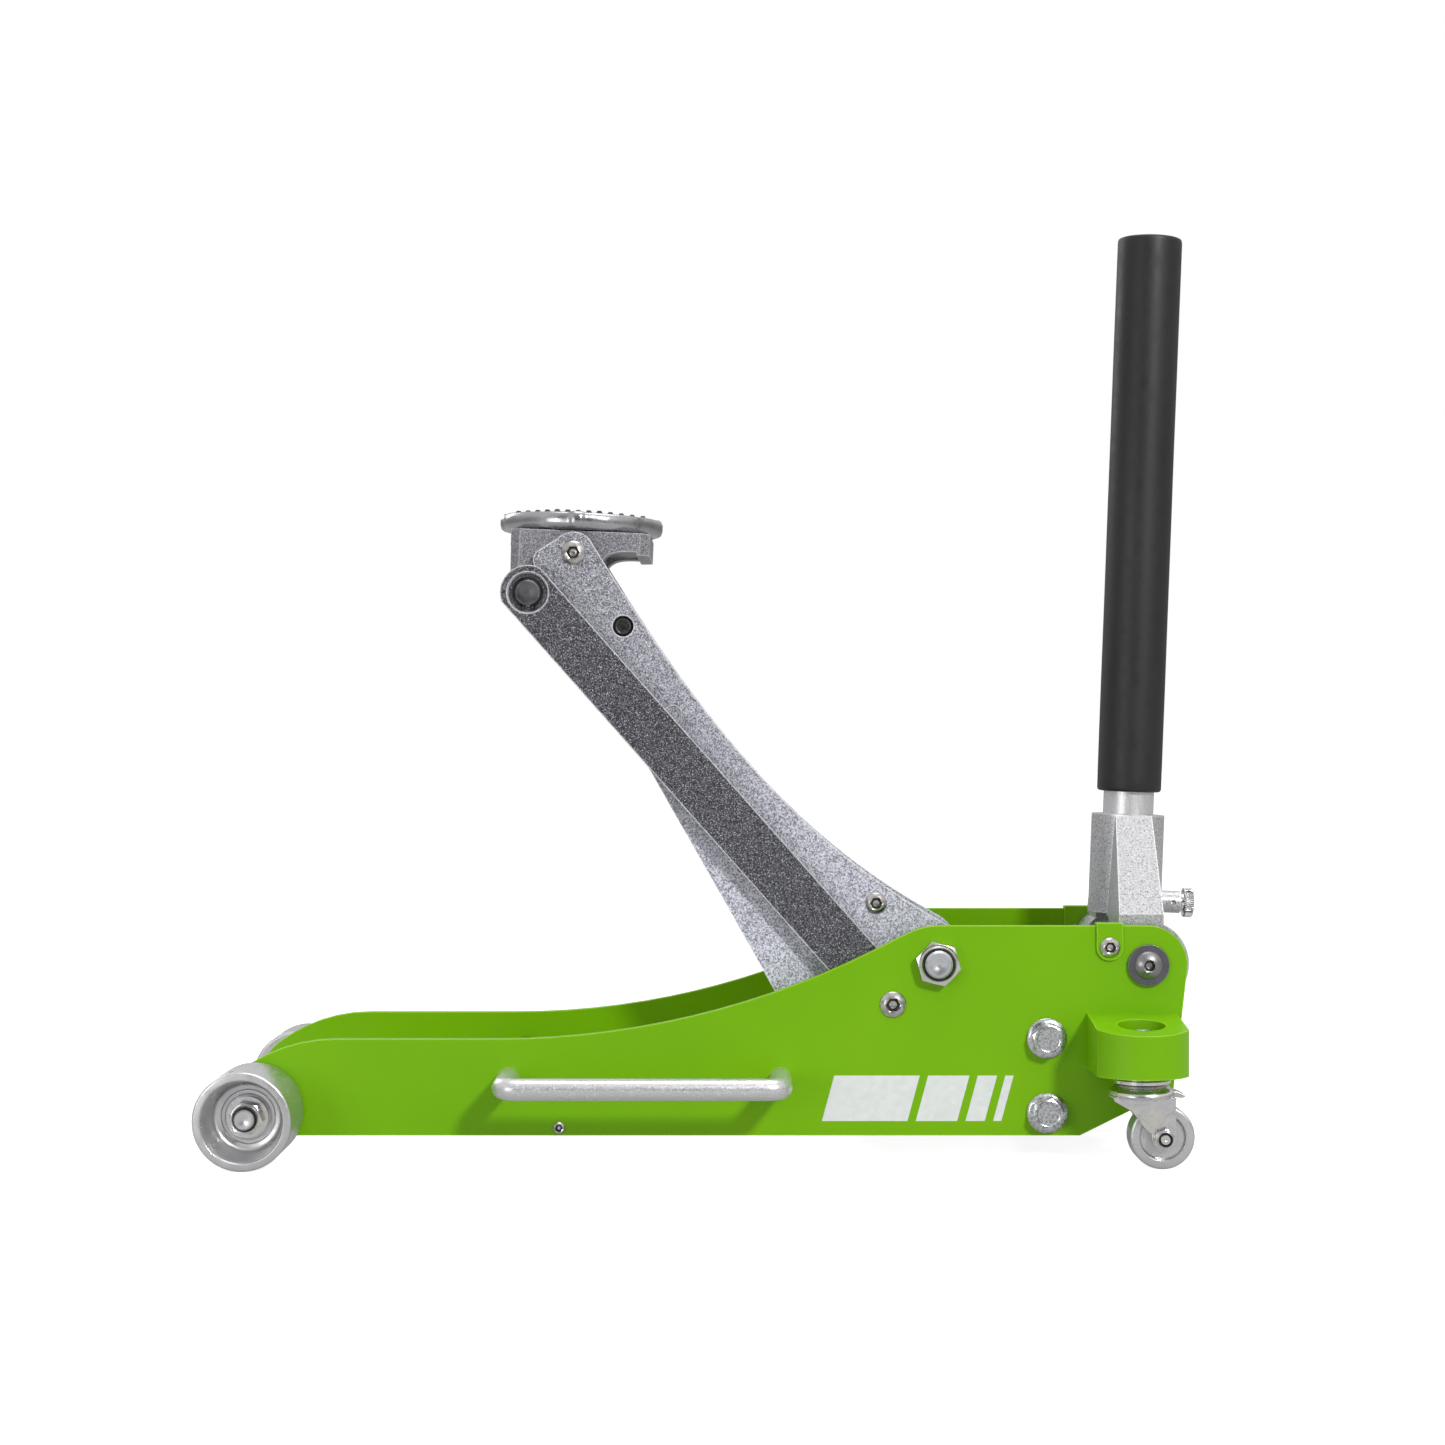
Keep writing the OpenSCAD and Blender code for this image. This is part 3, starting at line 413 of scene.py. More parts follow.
def black_steel():
    """Black oxide on steel, rubbed to grey on the edges."""
    look = Look("black_steel", (0.022, 0.022, 0.024), metallic=0.7, roughness=0.34)
    edge_wear_and_highlight = look.edges(0.8 * MM)
    tone = look.blend(look.span(look.noise(90, 3), 0.35, 0.7), (0.018, 0.018, 0.020), (0.055, 0.054, 0.052))
    look.link(look.blend(look.math("MULTIPLY", edge_wear_and_highlight, 0.5), tone, (0.30, 0.29, 0.28)), "Base Color")
    look.link(look.span(look.noise(300, 3), 0.3, 0.7, 0.24, 0.46), "Roughness")
    look.link(look.bump(look.noise(500, 2), 0.15, 0.12 * MM), "Normal")
    return look.mat


def black_paint():
    """Satin black paint over sawn and cast steel."""
    look = Look("black_paint", (0.022, 0.022, 0.024), roughness=0.42)
    edge_wear_and_highlight = look.edges(1.0 * MM)
    tone = look.blend(look.span(look.noise(30, 3), 0.3, 0.7), (0.016, 0.016, 0.018), (0.034, 0.034, 0.036))
    look.link(look.blend(look.math("MULTIPLY", edge_wear_and_highlight, 0.35), tone, (0.20, 0.20, 0.20)), "Base Color")
    look.link(look.span(look.noise(220, 3), 0.3, 0.7, 0.34, 0.54), "Roughness")
    look.link(look.bump(look.noise(380, 3), 0.22, 0.25 * MM), "Normal")
    return look.mat


def chrome_plate():
    """Bright chrome with faint smears."""
    look = Look("chrome_plate", (0.80, 0.80, 0.81), metallic=1.0, roughness=0.12)
    look.drift(120, 3, 0.4, 0.7, (0.82, 0.82, 0.83), (0.68, 0.68, 0.70))
    look.link(look.span(look.noise(160, 4), 0.4, 0.75, 0.08, 0.26), "Roughness")
    look.link(look.bump(look.noise(600, 2), 0.06, 0.1 * MM), "Normal")
    return look.mat


def spring_steel():
    """Oiled spring wire."""
    look = Look("spring_steel", (0.24, 0.24, 0.25), metallic=1.0, roughness=0.30)
    look.drift(140, 3, 0.3, 0.7, (0.17, 0.17, 0.18), (0.32, 0.31, 0.30))
    look.link(look.span(look.noise(400, 2), 0.3, 0.7, 0.22, 0.42), "Roughness")
    look.link(look.bump(look.noise(900, 2), 0.12, 0.08 * MM), "Normal")
    return look.mat


def black_foam():
    """Closed-cell foam: matt, pored, with a soft bloom where hands have been."""
    look = Look("black_foam", (0.007, 0.007, 0.008), roughness=0.5, Specular_IOR_Level=0.5)
    cloud = look.blend(look.span(look.noise(14, 3, (1, 1, 0.35)), 0.35, 0.7), (0.006, 0.006, 0.007),
                       (0.011, 0.011, 0.013))
    pores = look.noise(1500, 2)
    look.link(look.blend(look.span(pores, 0.60, 0.72), cloud, (0.018, 0.018, 0.020)), "Base Color")
    look.link(look.span(look.noise(90, 3), 0.3, 0.7, 0.42, 0.56), "Roughness")
    fine = look.bump(pores, 0.16, 0.12 * MM)
    look.link(look.bump(look.noise(240, 2), 0.12, 0.3 * MM, fine), "Normal")
    return look.mat


def black_rubber():
    """Moulded rubber with dust on its ribs."""
    look = Look("black_rubber", (0.030, 0.030, 0.032), roughness=0.62)
    edge_wear_and_highlight = look.edges(0.6 * MM)
    dust = look.blend(look.span(look.noise(50, 4), 0.4, 0.75), (0.024, 0.024, 0.026), (0.070, 0.068, 0.066))
    look.link(look.blend(look.math("MULTIPLY", edge_wear_and_highlight, 0.4), dust, (0.14, 0.14, 0.14)), "Base Color")
    look.link(look.span(look.noise(180, 3), 0.3, 0.7, 0.52, 0.74), "Roughness")
    look.link(look.bump(look.noise(800, 2), 0.25, 0.12 * MM), "Normal")
    return look.mat


def decal_white():
    """Thin screen-printed white."""
    look = Look("decal_white", (0.70, 0.73, 0.72), roughness=0.45)
    look.drift(200, 3, 0.35, 0.7, (0.66, 0.70, 0.68), (0.74, 0.76, 0.75))
    look.link(look.bump(look.noise(520, 1), 0.10, 0.2 * MM), "Normal")
    return look.mat


def bolt_metal():
    """Zinc that has gone patchy: dull stains on bright metal."""
    look = Look("bolt_metal", (0.60, 0.61, 0.63), metallic=1.0, roughness=0.24)
    patches = look.span(look.noise(620, 4), 0.46, 0.62)
    tone = look.blend(patches, (0.66, 0.67, 0.69), (0.36, 0.36, 0.38))
    # Painted highlight: the edges are painted near white.
    edge = look.math("MULTIPLY", look.edges(0.7 * MM), 0.8)
    look.link(look.blend(edge, tone, (0.90, 0.90, 0.92)), "Base Color")
    look.link(look.span(look.noise(260, 3), 0.3, 0.7, 0.14, 0.40), "Roughness")
    look.link(look.bump(look.noise(700, 3), 0.12, 0.1 * MM), "Normal")
    return look.mat


def screw_metal():
    """Bright steel with a faint brown stain round the head."""
    look = Look("screw_metal", (0.58, 0.57, 0.55), metallic=1.0, roughness=0.22)
    tone = look.blend(look.span(look.noise(190, 3), 0.35, 0.65), (0.64, 0.63, 0.61), (0.44, 0.42, 0.39))
    look.link(tone, "Base Color")
    look.link(look.span(look.noise(240, 3), 0.3, 0.7, 0.14, 0.34), "Roughness")
    look.link(look.bump(look.noise(520, 2), 0.15, 0.12 * MM), "Normal")
    return look.mat


def painted_socket_shade():
    """Painted shade: a near-black colour for the inside of a screw's socket and the gap round a shaft's end."""
    look = Look("painted_socket_shade", (0.02, 0.02, 0.02), metallic=0.4, roughness=0.5)
    look.drift(400, 2, 0.4, 0.7, (0.012, 0.012, 0.012), (0.05, 0.048, 0.045))
    look.link(look.bump(look.noise(800, 2), 0.2, 0.1 * MM), "Normal")
    return look.mat


LOOKS = {
    "green_paint": green_paint(),
    # The last number paints the arm darker towards its top and lighter low down, as painted shade.
    "sparkle_silver": sparkle("sparkle_silver", (0.19, 0.19, 0.235), (0.58, 0.585, 0.66), (0.98, 0.98, 1.0),
                              0.58, 860, (1.0, 1.0, 1.0), 0.30, 0.42, 0.60),
    "dark_sparkle": sparkle("dark_sparkle", (0.030, 0.030, 0.036), (0.098, 0.099, 0.114), (0.72, 0.72, 0.78),
                            0.60, 860, (1.0, 1.0, 1.0), 0.30, 0.40),
    "cast_silver": cast_silver(),
    "satin_aluminium": satin_rod("satin_aluminium", (0.70, 0.70, 0.71), (0.02, 1, 1)),
    "zinc_plate": zinc_plate(),
    "plain_steel": plain_steel(),
    "black_steel": black_steel(),
    "black_paint": black_paint(),
    "chrome_plate": chrome_plate(),
    "spring_steel": spring_steel(),
    "black_foam": black_foam(),
    "black_rubber": black_rubber(),
}
DECAL = decal_white()
BOLT_METAL = bolt_metal()
SADDLE_METAL = saddle_metal()
SCREW_METAL = screw_metal()
PAINTED_SOCKET_SHADE = painted_socket_shade()
ROLLER_METAL = turned_metal("roller_metal", joint_point("front_roller_left_spin"), (0.68, 0.68, 0.69))
WHEEL_METAL = turned_metal("wheel_metal", joint_point("caster_wheel_left_spin"), (0.70, 0.70, 0.71))
BRACKET_METAL = sparkle("bracket_metal", (0.13, 0.13, 0.145), (0.32, 0.32, 0.345), (0.66, 0.66, 0.68), 0.60,
                        820, (0.62, 0.62, 0.63), 0.30, 0.40)
YOKE_METAL = sparkle("yoke_metal", (0.42, 0.42, 0.43), (0.60, 0.60, 0.61), (0.90, 0.90, 0.90), 0.60, 760,
                     (0.88, 0.88, 0.88), 0.65, 0.36)
TUBE_METAL = satin_rod("tube_metal", (0.74, 0.74, 0.75), (1, 1, 0.02), 0.38)
SHAFT_METAL = turned_metal("shaft_metal", MAIN_PIVOT, (0.66, 0.68, 0.71), 900)
PIN_METAL = turned_metal("pin_metal", LINK_TOP, (0.16, 0.16, 0.18), 900)
BUTTON_METAL = turned_metal("button_metal", node_middle("yoke_pivot_screws"), (0.30, 0.29, 0.30), 700)


# ---- CAD nodes: soft edges and materials ----

def cleaning_group():
    """Joins the imported corners, so that the edge modifiers can follow them."""
    group = bpy.data.node_groups.new("clean_corners", "GeometryNodeTree")
    group.interface.new_socket("Geometry", in_out="INPUT", socket_type="NodeSocketGeometry")
    group.interface.new_socket("Geometry", in_out="OUTPUT", socket_type="NodeSocketGeometry")
    start = group.nodes.new("NodeGroupInput")
    end = group.nodes.new("NodeGroupOutput")
    forget = group.nodes.new("GeometryNodeRemoveAttribute")
    forget.inputs["Name"].default_value = "custom_normal"
    merge = group.nodes.new("GeometryNodeMergeByDistance")
    merge.inputs["Distance"].default_value = 2e-6
    smooth = group.nodes.new("GeometryNodeSetShadeSmooth")
    link = group.links.new
    link(start.outputs[0], forget.inputs["Geometry"])
    link(forget.outputs["Geometry"], merge.inputs["Geometry"])
    link(merge.outputs["Geometry"], smooth.inputs["Geometry"])
    link(smooth.outputs["Geometry"], end.inputs[0])
    return group


CLEAN = cleaning_group()


def soften(obj, width):
    """Rounds a CAD node's edges without touching its mesh."""
    clean = obj.modifiers.new("clean", "NODES")
    clean.node_group = CLEAN
    flat = obj.modifiers.new("flat", "DECIMATE")
    flat.decimate_type = "DISSOLVE"
    flat.angle_limit = math.radians(0.5)
    bevel = obj.modifiers.new("bevel", "BEVEL")
    bevel.width = width
    bevel.segments = 2
    bevel.limit_method = "ANGLE"
    bevel.angle_limit = math.radians(24)
    bevel.use_clamp_overlap = True
    bevel.harden_normals = True


EDGE_WIDTHS = {
    "green_paint": 0.8 * MM,
    "sparkle_silver": 1.0 * MM,
    "dark_sparkle": 1.5 * MM,
    "cast_silver": 1.4 * MM,
    "black_paint": 1.0 * MM,
}
SMALL_EDGE = 0.35 * MM
OWN_METALS = {
    "front_roller_left": ROLLER_METAL,
    "front_roller_right": ROLLER_METAL,
    "caster_wheel_left": WHEEL_METAL,
    "caster_wheel_right": WHEEL_METAL,
    "handle_tube": TUBE_METAL,
    "saddle_bracket": BRACKET_METAL,
    "yoke_casting": YOKE_METAL,
    "yoke_pivot_washers": PIN_METAL,
}


def dress_nodes():
    """Gives every CAD node its material and soft edges."""
    slots = {row["node"]: row["material_slot"] for row in RECORD["subparts"]}
    for name, obj in frame["nodes"].items():
        obj.data.materials.clear()
        obj.data.materials.append(OWN_METALS.get(name, LOOKS[slots[name]]))
        soften(obj, EDGE_WIDTHS.get(slots[name], SMALL_EDGE))


# ---- mesh tools ----

def new_piece(name, bm, matrix=None, sharp=32):
    mesh = bpy.data.meshes.new(name)
    bmesh.ops.recalc_face_normals(bm, faces=bm.faces)
    bm.to_mesh(mesh)
    bm.free()
    if matrix:
        mesh.transform(matrix)
        if matrix.determinant() < 0:
            mesh.flip_normals()
    for polygon in mesh.polygons:
        polygon.use_smooth = True
    mesh.set_sharp_from_angle(angle=math.radians(sharp))
    obj = bpy.data.objects.new(name, mesh)
    bpy.context.scene.collection.objects.link(obj)
    return obj


def finish_piece(obj, body, slot, look=None, replaced=()):
    obj.data.materials.append(look or LOOKS[slot])
    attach(obj, body)
    if replaced:
        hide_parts(*replaced)
    return obj


def pointing(place, axis):
    """Matrix that puts local +Z along an axis at a place."""
    return Matrix.Translation(Vector(place)) @ Vector(axis).to_track_quat("Z", "Y").to_matrix().to_4x4()


def turned(angle):
    """Turn about local +Z."""
    return Matrix.Rotation(angle, 4, "Z")


def polar_bmesh(rings, segments=96, closed=False, bm=None, matrix=None):
    """Surface through rings about +Z. A ring is (r, z) in mm, or a function of the angle that gives it."""
    bm = bm or bmesh.new()
    matrix = matrix or Matrix.Identity(4)
    rows = []
    for ring in rings:
        row = []
        for i in range(segments):
            angle = 2 * math.pi * i / segments
            r, z = ring(angle) if callable(ring) else ring
            row.append((r * math.cos(angle) * MM, r * math.sin(angle) * MM, z * MM))
        if max(math.hypot(p[0], p[1]) for p in row) < 1e-7:
            rows.append([bm.verts.new(matrix @ Vector(row[0]))])
        else:
            rows.append([bm.verts.new(matrix @ Vector(p)) for p in row])
    pairs = list(zip(rows, rows[1:]))
    if closed:
        pairs.append((rows[-1], rows[0]))
    for a, b in pairs:
        for i in range(segments):
            j = (i + 1) % segments
            corners = [a[i % len(a)], a[j % len(a)], b[j % len(b)], b[i % len(b)]]
            unique = list(dict.fromkeys(corners))
            if len(unique) > 2:
                bm.faces.new(unique)
    return bm


def hexagon(across, angle):
    """Radius of a hexagon of that size across its flats, at an angle."""
    turn = (angle % (math.pi / 3)) - math.pi / 6
    return across / 2 / math.cos(turn)


def hex_ring(across, z, chamfer_r=None, drop=0.0):
    """A ring on a hexagon's side, whose corners drop by a 30 degree chamfer beyond chamfer_r."""
    def ring(angle):
        r = hexagon(across, angle)
        fall = max(0.0, r - chamfer_r) * math.tan(math.radians(30)) if chamfer_r else 0.0
        return r, z - drop * fall
    return ring


def round_ring(across, chamfer_r, z):
    """The circle on a hexagon's end face where its chamfer starts."""
    return lambda angle: (min(chamfer_r, hexagon(across, angle) - 0.02), z)


def tube_bmesh(points, radius, sides=10, bm=None):
    """Round wire along a list of points, with closed ends."""
    bm = bm or bmesh.new()
    points = [Vector(p) for p in points]
    normal = None
    rows = []
    for i, point in enumerate(points):
        ahead = points[min(i + 1, len(points) - 1)]
        behind = points[max(i - 1, 0)]
        tangent = (ahead - behind).normalized()
        if normal is None:
            normal = tangent.orthogonal().normalized()
        normal = (normal - tangent * normal.dot(tangent)).normalized()
        side = tangent.cross(normal)
        row = []
        for k in range(sides):
            turn = 2 * math.pi * k / sides
            row.append(bm.verts.new(point + radius * (normal * math.cos(turn) + side * math.sin(turn))))
        rows.append(row)
    for a, b in zip(rows, rows[1:]):
        for k in range(sides):
            j = (k + 1) % sides
            bm.faces.new((a[k], a[j], b[j], b[k]))
    bm.faces.new(list(reversed(rows[0])))
    bm.faces.new(rows[-1])
    return bm


def slab_bmesh(outline, thickness, matrix):
    """Flat plate with an [x, y] outline in mm, extruded along local +Z."""
    bm = bmesh.new()
    low = [bm.verts.new(matrix @ Vector((x * MM, y * MM, 0))) for x, y in outline]
    high = [bm.verts.new(matrix @ Vector((x * MM, y * MM, thickness * MM))) for x, y in outline]
    bm.faces.new(low)
    bm.faces.new(high)
    count = len(outline)
    for i in range(count):
        j = (i + 1) % count
        bm.faces.new((low[i], low[j], high[j], high[i]))
    return bm


def arc_points(centre, radius, start, end, count):
    points = []
    for i in range(count + 1):
        angle = math.radians(start + (end - start) * i / count)
        points.append((centre[0] + radius * math.cos(angle), centre[1] + radius * math.sin(angle)))
    return points


# ---- fasteners ----

def lock_nut_rings(across, height, bore, collar):
    """Hexagon nut with a rounded locking collar, seat at z = 0."""
    chamfer = across / 2 * 0.985
    return [
        (bore, 0), round_ring(across, chamfer, 0), hex_ring(across, 0.3),
        hex_ring(across, height, chamfer, 1), round_ring(across, chamfer, height), (collar + 0.5, height),
        (collar, height + 0.4), (collar, height + 1.9), (collar - 0.5, height + 2.7),
        (collar - 1.4, height + 3.0), (bore + 0.9, height + 3.0), (bore + 0.4, height + 2.6),
        (bore + 0.3, height + 1.2), (bore, height + 1.2),
    ]


def flange_bolt_rings(across, flange, height):
    """Hexagon bolt head on a round flange, with a shallow dished end."""
    chamfer = across / 2 * 0.97
    return [
        (0, 0), (flange - 0.6, 0), (flange, 0.5), (flange, 1.7), (flange - 0.7, 2.4),
        (across / 2 + 2.2, 2.9), lambda a: (hexagon(across, a) + 0.3, 3.2), hex_ring(across, 3.6),
        hex_ring(across, height, chamfer, 1), round_ring(across, chamfer, height),
        (chamfer - 1.0, height + 0.15), (chamfer - 2.0, height - 0.1), (chamfer - 2.6, height - 0.55),
        (0, height - 0.6),
    ]


def shaft_rings(radius, low, high, chamfer=1.2, dimple=2.2):
    """Plain shaft with chamfered ends and a centre-drilled dimple in each."""
    return [
        (0, low + 1.6), (dimple, low), (radius - chamfer, low), (radius, low + chamfer),
        (radius, high - chamfer), (radius - chamfer, high), (dimple, high), (0, high - 1.6),
    ]


def paint_gap_shade(obj, first, last, segments=96):
    """Paints the bands between those rings of a turned piece near-black, as painted shade in a gap."""
    obj.data.materials.append(PAINTED_SOCKET_SHADE)
    for polygon in obj.data.polygons:
        if first <= polygon.index // segments < last:
            polygon.material_index = 1


def nuts_on_both_sides(node, piece, rings, turn, inner=None):
    """Puts one outward-facing lock nut on each side of the jack, with painted shade round the shaft's end."""
    middle = node_middle(node)
    start = inner if inner is not None else PLATE_OUT
    for side_name, side in SIDES.items():
        place = pointing((middle.x, side * start, middle.z), (0, side, 0)) @ turned(turn * side)
        obj = new_piece(f"{piece}_{side_name}", polar_bmesh(rings), place)
        finish_piece(obj, "chassis", "zinc_plate", None, (node,))
        # Painted shade: the last bands round the shaft's end are painted near-black.
        paint_gap_shade(obj, len(rings) - 6, len(rings))


def add_fasteners():
    nut_height = 8.4
    nuts_on_both_sides("main_shaft_nuts", "shaft_lock_nut", lock_nut_rings(29, nut_height, 10, 12.6), 0.25)
    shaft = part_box("main_shaft")
    half = shaft[1].y / MM - 1.6
    rod = polar_bmesh(shaft_rings(10, -half, half, 1.4, 3.0))
    finish_piece(new_piece("main_shaft_rod", rod, pointing(MAIN_PIVOT, (0, 1, 0))), "chassis", "zinc_plate",
                 SHAFT_METAL, ("main_shaft",))
    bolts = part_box("unit_bolts")
    radius = 14.5 * MM
    x = (bolts[0].x + bolts[1].x) / 2
    for level, z in (("low", bolts[0].z + radius), ("high", bolts[1].z - radius)):
        for side_name, side in SIDES.items():
            place = pointing((x, side * PLATE_OUT, z), (0, side, 0)) @ turned(0.3 if level == "low" else 0.75)
            obj = new_piece(f"unit_bolt_{level}_{side_name}", polar_bmesh(flange_bolt_rings(21, 14.5, 11.3)),
                            place)
            finish_piece(obj, "chassis", "zinc_plate", BOLT_METAL, ("unit_bolts",))
    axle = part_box("front_axle")
    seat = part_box("front_axle_washers")[1].y
    nuts_on_both_sides("front_axle_nuts", "roller_lock_nut", lock_nut_rings(21, 7.2, 7.2, 9.4), 0.2, seat)
    reach = axle[1].y / MM
    shoulder = reach - 17
    rings = [(0, -reach + 1.2), (2.2, -reach), (6.0, -reach), (7.2, -reach + 1.2), (7.2, -shoulder),
             (10, -shoulder), (10, shoulder), (7.2, shoulder), (7.2, reach - 1.2), (6.0, reach), (2.2, reach),
             (0, reach - 1.2)]
    centre = node_middle("front_axle")
    finish_piece(new_piece("front_axle_rod", polar_bmesh(rings), pointing(centre, (0, 1, 0))), "chassis",
                 "zinc_plate", ROLLER_METAL, ("front_axle",))


def add_link_pin():
    """Dark turned pin through the link bars, and the circlips in their recesses."""
    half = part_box("link_top_pin")[1].y / MM + 1.4
    groove = half - 3.2
    rings = [(0, -half + 1.0), (3, -half + 0.2), (8.4, -half), (9.25, -half + 0.9), (9.25, -groove),
             (8.2, -groove), (8.2, -groove + 1.4), (9.25, -groove + 1.4), (9.25, groove - 1.4),
             (8.2, groove - 1.4), (8.2, groove), (9.25, groove), (9.25, half - 0.9), (8.4, half),
             (3, half - 0.2), (0, half - 1.0)]
    finish_piece(new_piece("link_pin_rod", polar_bmesh(rings), pointing(LINK_TOP, (0, 1, 0))), "bracket",
                 "black_steel", PIN_METAL, ("link_top_pin",))
    for side_name, side in SIDES.items():
        place = pointing((LINK_TOP.x, side * (groove - 1.3) * MM, LINK_TOP.z), (0, side, 0))
        inner = arc_points((0, 0), 8.3, -68, 248, 40)
        outer = arc_points((0, 0.4), 11.6, 248, -68, 40)
        spin = turned(math.pi if side > 0 else 0)
        bm = slab_bmesh(inner + outer, 1.3, place @ spin)
        for lug in (-1, 1):
            lug_place = place @ spin @ Matrix.Translation((lug * 3.7 * MM, -10.6 * MM, 0))
            polar_bmesh([(0.9, 0), (2.5, 0), (2.5, 1.3), (0.9, 1.3)], 24, True, bm, lug_place)
        finish_piece(new_piece(f"circlip_{side_name}", bm), "bracket", "black_steel", None,
                     ("link_pin_circlips",))


def add_arm_plugs():
    """Pressed discs that close the lightening hole in each arm plate, set back from its face."""
    high = node_reach("lift_arm_right") / MM
    low = abs(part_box("lift_arm_left")[1].y) / MM
    for side_name, side in SIDES.items():
        place = pointing((ARM_HOLE.x, side * (low + 1) * MM, ARM_HOLE.z), (0, side, 0))
        depth = high - low - 1
        rings = [(0, 0), (ARM_HOLE_R, 0), (ARM_HOLE_R, depth - 1.6), (ARM_HOLE_R - 0.5, depth - 1.1),
                 (ARM_HOLE_R - 1.2, depth - 1.2), (0, depth - 1.4)]
        obj = new_piece(f"arm_plug_{side_name}", polar_bmesh(rings), place)
        finish_piece(obj, "arm", "sparkle_silver")


# ---- saddle ----

def ear_shape(angle):
    """1 at each of the saddle's four ears, 0 between them."""
    turn = (angle + math.pi / 4) % (math.pi / 2) - math.pi / 4
    return math.exp(-((turn / 0.082) ** 4))


def add_saddle():
    """Cast cup with a rolled rim and four rounded ears, its post, and the waffle pad."""
    foot = joint_point("saddle_swivel")
    place = pointing(foot, SADDLE_AXIS)
    rim_low, rim_high = 17.3, 30.4
    outer = 59.7

    def rim(radius_in, height, ear_out, ear_rise):
        def ring(angle):
            ear = ear_shape(angle)
            wave = 0.22 * noise.noise(Vector((math.cos(angle) * 3, math.sin(angle) * 3, height)))
            return outer - radius_in + ear_out * ear + wave, height + ear_rise * ear + wave
        return ring

    rings = [
        (0, 22.2), (53.6, 22.2), rim(5.6, 27.5, -0.4, 0), rim(5.2, rim_high - 0.9, 0, 0.6),
        rim(4.2, rim_high, 0.4, 0.8), rim(2.2, rim_high, 1.0, 0.8), rim(0.8, rim_high - 1.0, 1.6, 0.5),
        rim(0.0, rim_high - 3.4, 1.9, 0.2), rim(0.0, rim_low + 5.5, 1.9, 0), rim(0.9, rim_low + 2.0, 1.7, 0),
        rim(2.6, rim_low + 0.6, 1.2, 0), rim(4.6, rim_low + 0.3, 0.5, 0), rim(8.0, rim_low + 0.2, 0, 0),
        (22, rim_low), (16.5, rim_low), (15, rim_low - 1.5), (15, -16), (13.8, -17), (0, -17),
    ]
    cup = new_piece("saddle_cup", polar_bmesh(rings, 288), place, 50)
    finish_piece(cup, "saddle_cup", "cast_silver", SADDLE_METAL, ("saddle",))
    add_pad(place)


def add_pad(place):
    """Rubber disc with rows of blunt square studs, one of them at the middle."""
    top = 32.9
    base = top - 2.6
    radius = 53.0
    pitch = 7.8
    bm = polar_bmesh([(0, 22.4), (radius, 22.4), (radius + 0.3, 23), (radius + 0.3, base - 0.8),
                      (radius - 0.5, base), (0, base)], 128, False, None, place)
    steps = int(radius / pitch)
    for i in range(-steps, steps + 1):
        for j in range(-steps, steps + 1):
            if math.hypot(i, j) * pitch > radius - 3.4:
                continue
            centre = Vector((i * pitch, j * pitch, 0))
            levels = ((2.9, base - 0.2), (2.5, base + 0.5), (1.5, top - 0.25), (1.15, top))
            rows = []
            for half, z in levels:
                corners = ((-half, -half), (half, -half), (half, half), (-half, half))
                rows.append([bm.verts.new(place @ ((centre + Vector((x, y, z))) * MM)) for x, y in corners])
            for a, b in zip(rows, rows[1:]):
                for k in range(4):
                    bm.faces.new((a[k], a[(k + 1) % 4], b[(k + 1) % 4], b[k]))
            bm.faces.new(rows[-1])
            bm.faces.new(list(reversed(rows[0])))
    pad = new_piece("waffle_pad", bm, None, 25)
    finish_piece(pad, "saddle_cup", "black_rubber", None, ("saddle_pad",))


# ---- springs ----

def coil_points(start, end, radius, turns, lead):
    """Helix between two points: straight leads into a coil about the line that joins them."""
    axis = (end - start).normalized()
    length = (end - start).length
    side = axis.orthogonal().normalized()
    up = axis.cross(side)
    per_turn = 18
    count = int(turns * per_turn)
    points = []
    for i in range(count + 1):
        share = i / count
        angle = 2 * math.pi * turns * share
        along = lead + (length - 2 * lead) * share
        points.append(start + axis * along + radius * (side * math.cos(angle) + up * math.sin(angle)))
    return points


def add_springs():
    """Extension springs that draw the ram back, and the plungers' compression springs."""
    low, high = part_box("return_springs")
    wire = 0.75 * MM
    coil_r = (high.z - low.z) / 2 - wire
    z = (low.z + high.z) / 2
    y = high.y - (high.z - low.z) / 2
    for side_name, side in SIDES.items():
        front = Vector((low.x, side * y, z))
        back = Vector((high.x, side * y, z))
        points = coil_points(front, back, coil_r, 58, 9 * MM)
        first = points[0]
        last = points[-1]
        points = [front, front + (first - front) * 0.45 + Vector((3 * MM, 0, 0))] + points
        points += [back + (last - back) * 0.45 - Vector((3 * MM, 0, 0)), back]
        obj = new_piece(f"return_spring_{side_name}", tube_bmesh(points, wire, 8))
        obj.data.materials.append(LOOKS["spring_steel"])
        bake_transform(obj)
        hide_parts("return_springs")
    low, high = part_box("plunger_springs")
    wire = 0.8 * MM
    coil_r = (high.z - low.z) / 2 - wire
    z = (low.z + high.z) / 2
    y = high.y - (high.z - low.z) / 2
    for side_name, side in SIDES.items():
        seat = Vector((low.x + wire, side * y, z))
        head = Vector((high.x - wire, side * y, z))
        obj = new_piece(f"plunger_spring_{side_name}",
                        tube_bmesh(coil_points(seat, head, coil_r, 6.5, 0), wire, 10))
        obj.data.materials.append(LOOKS["spring_steel"])
        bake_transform(obj)
        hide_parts("plunger_springs")


# ---- casters ----

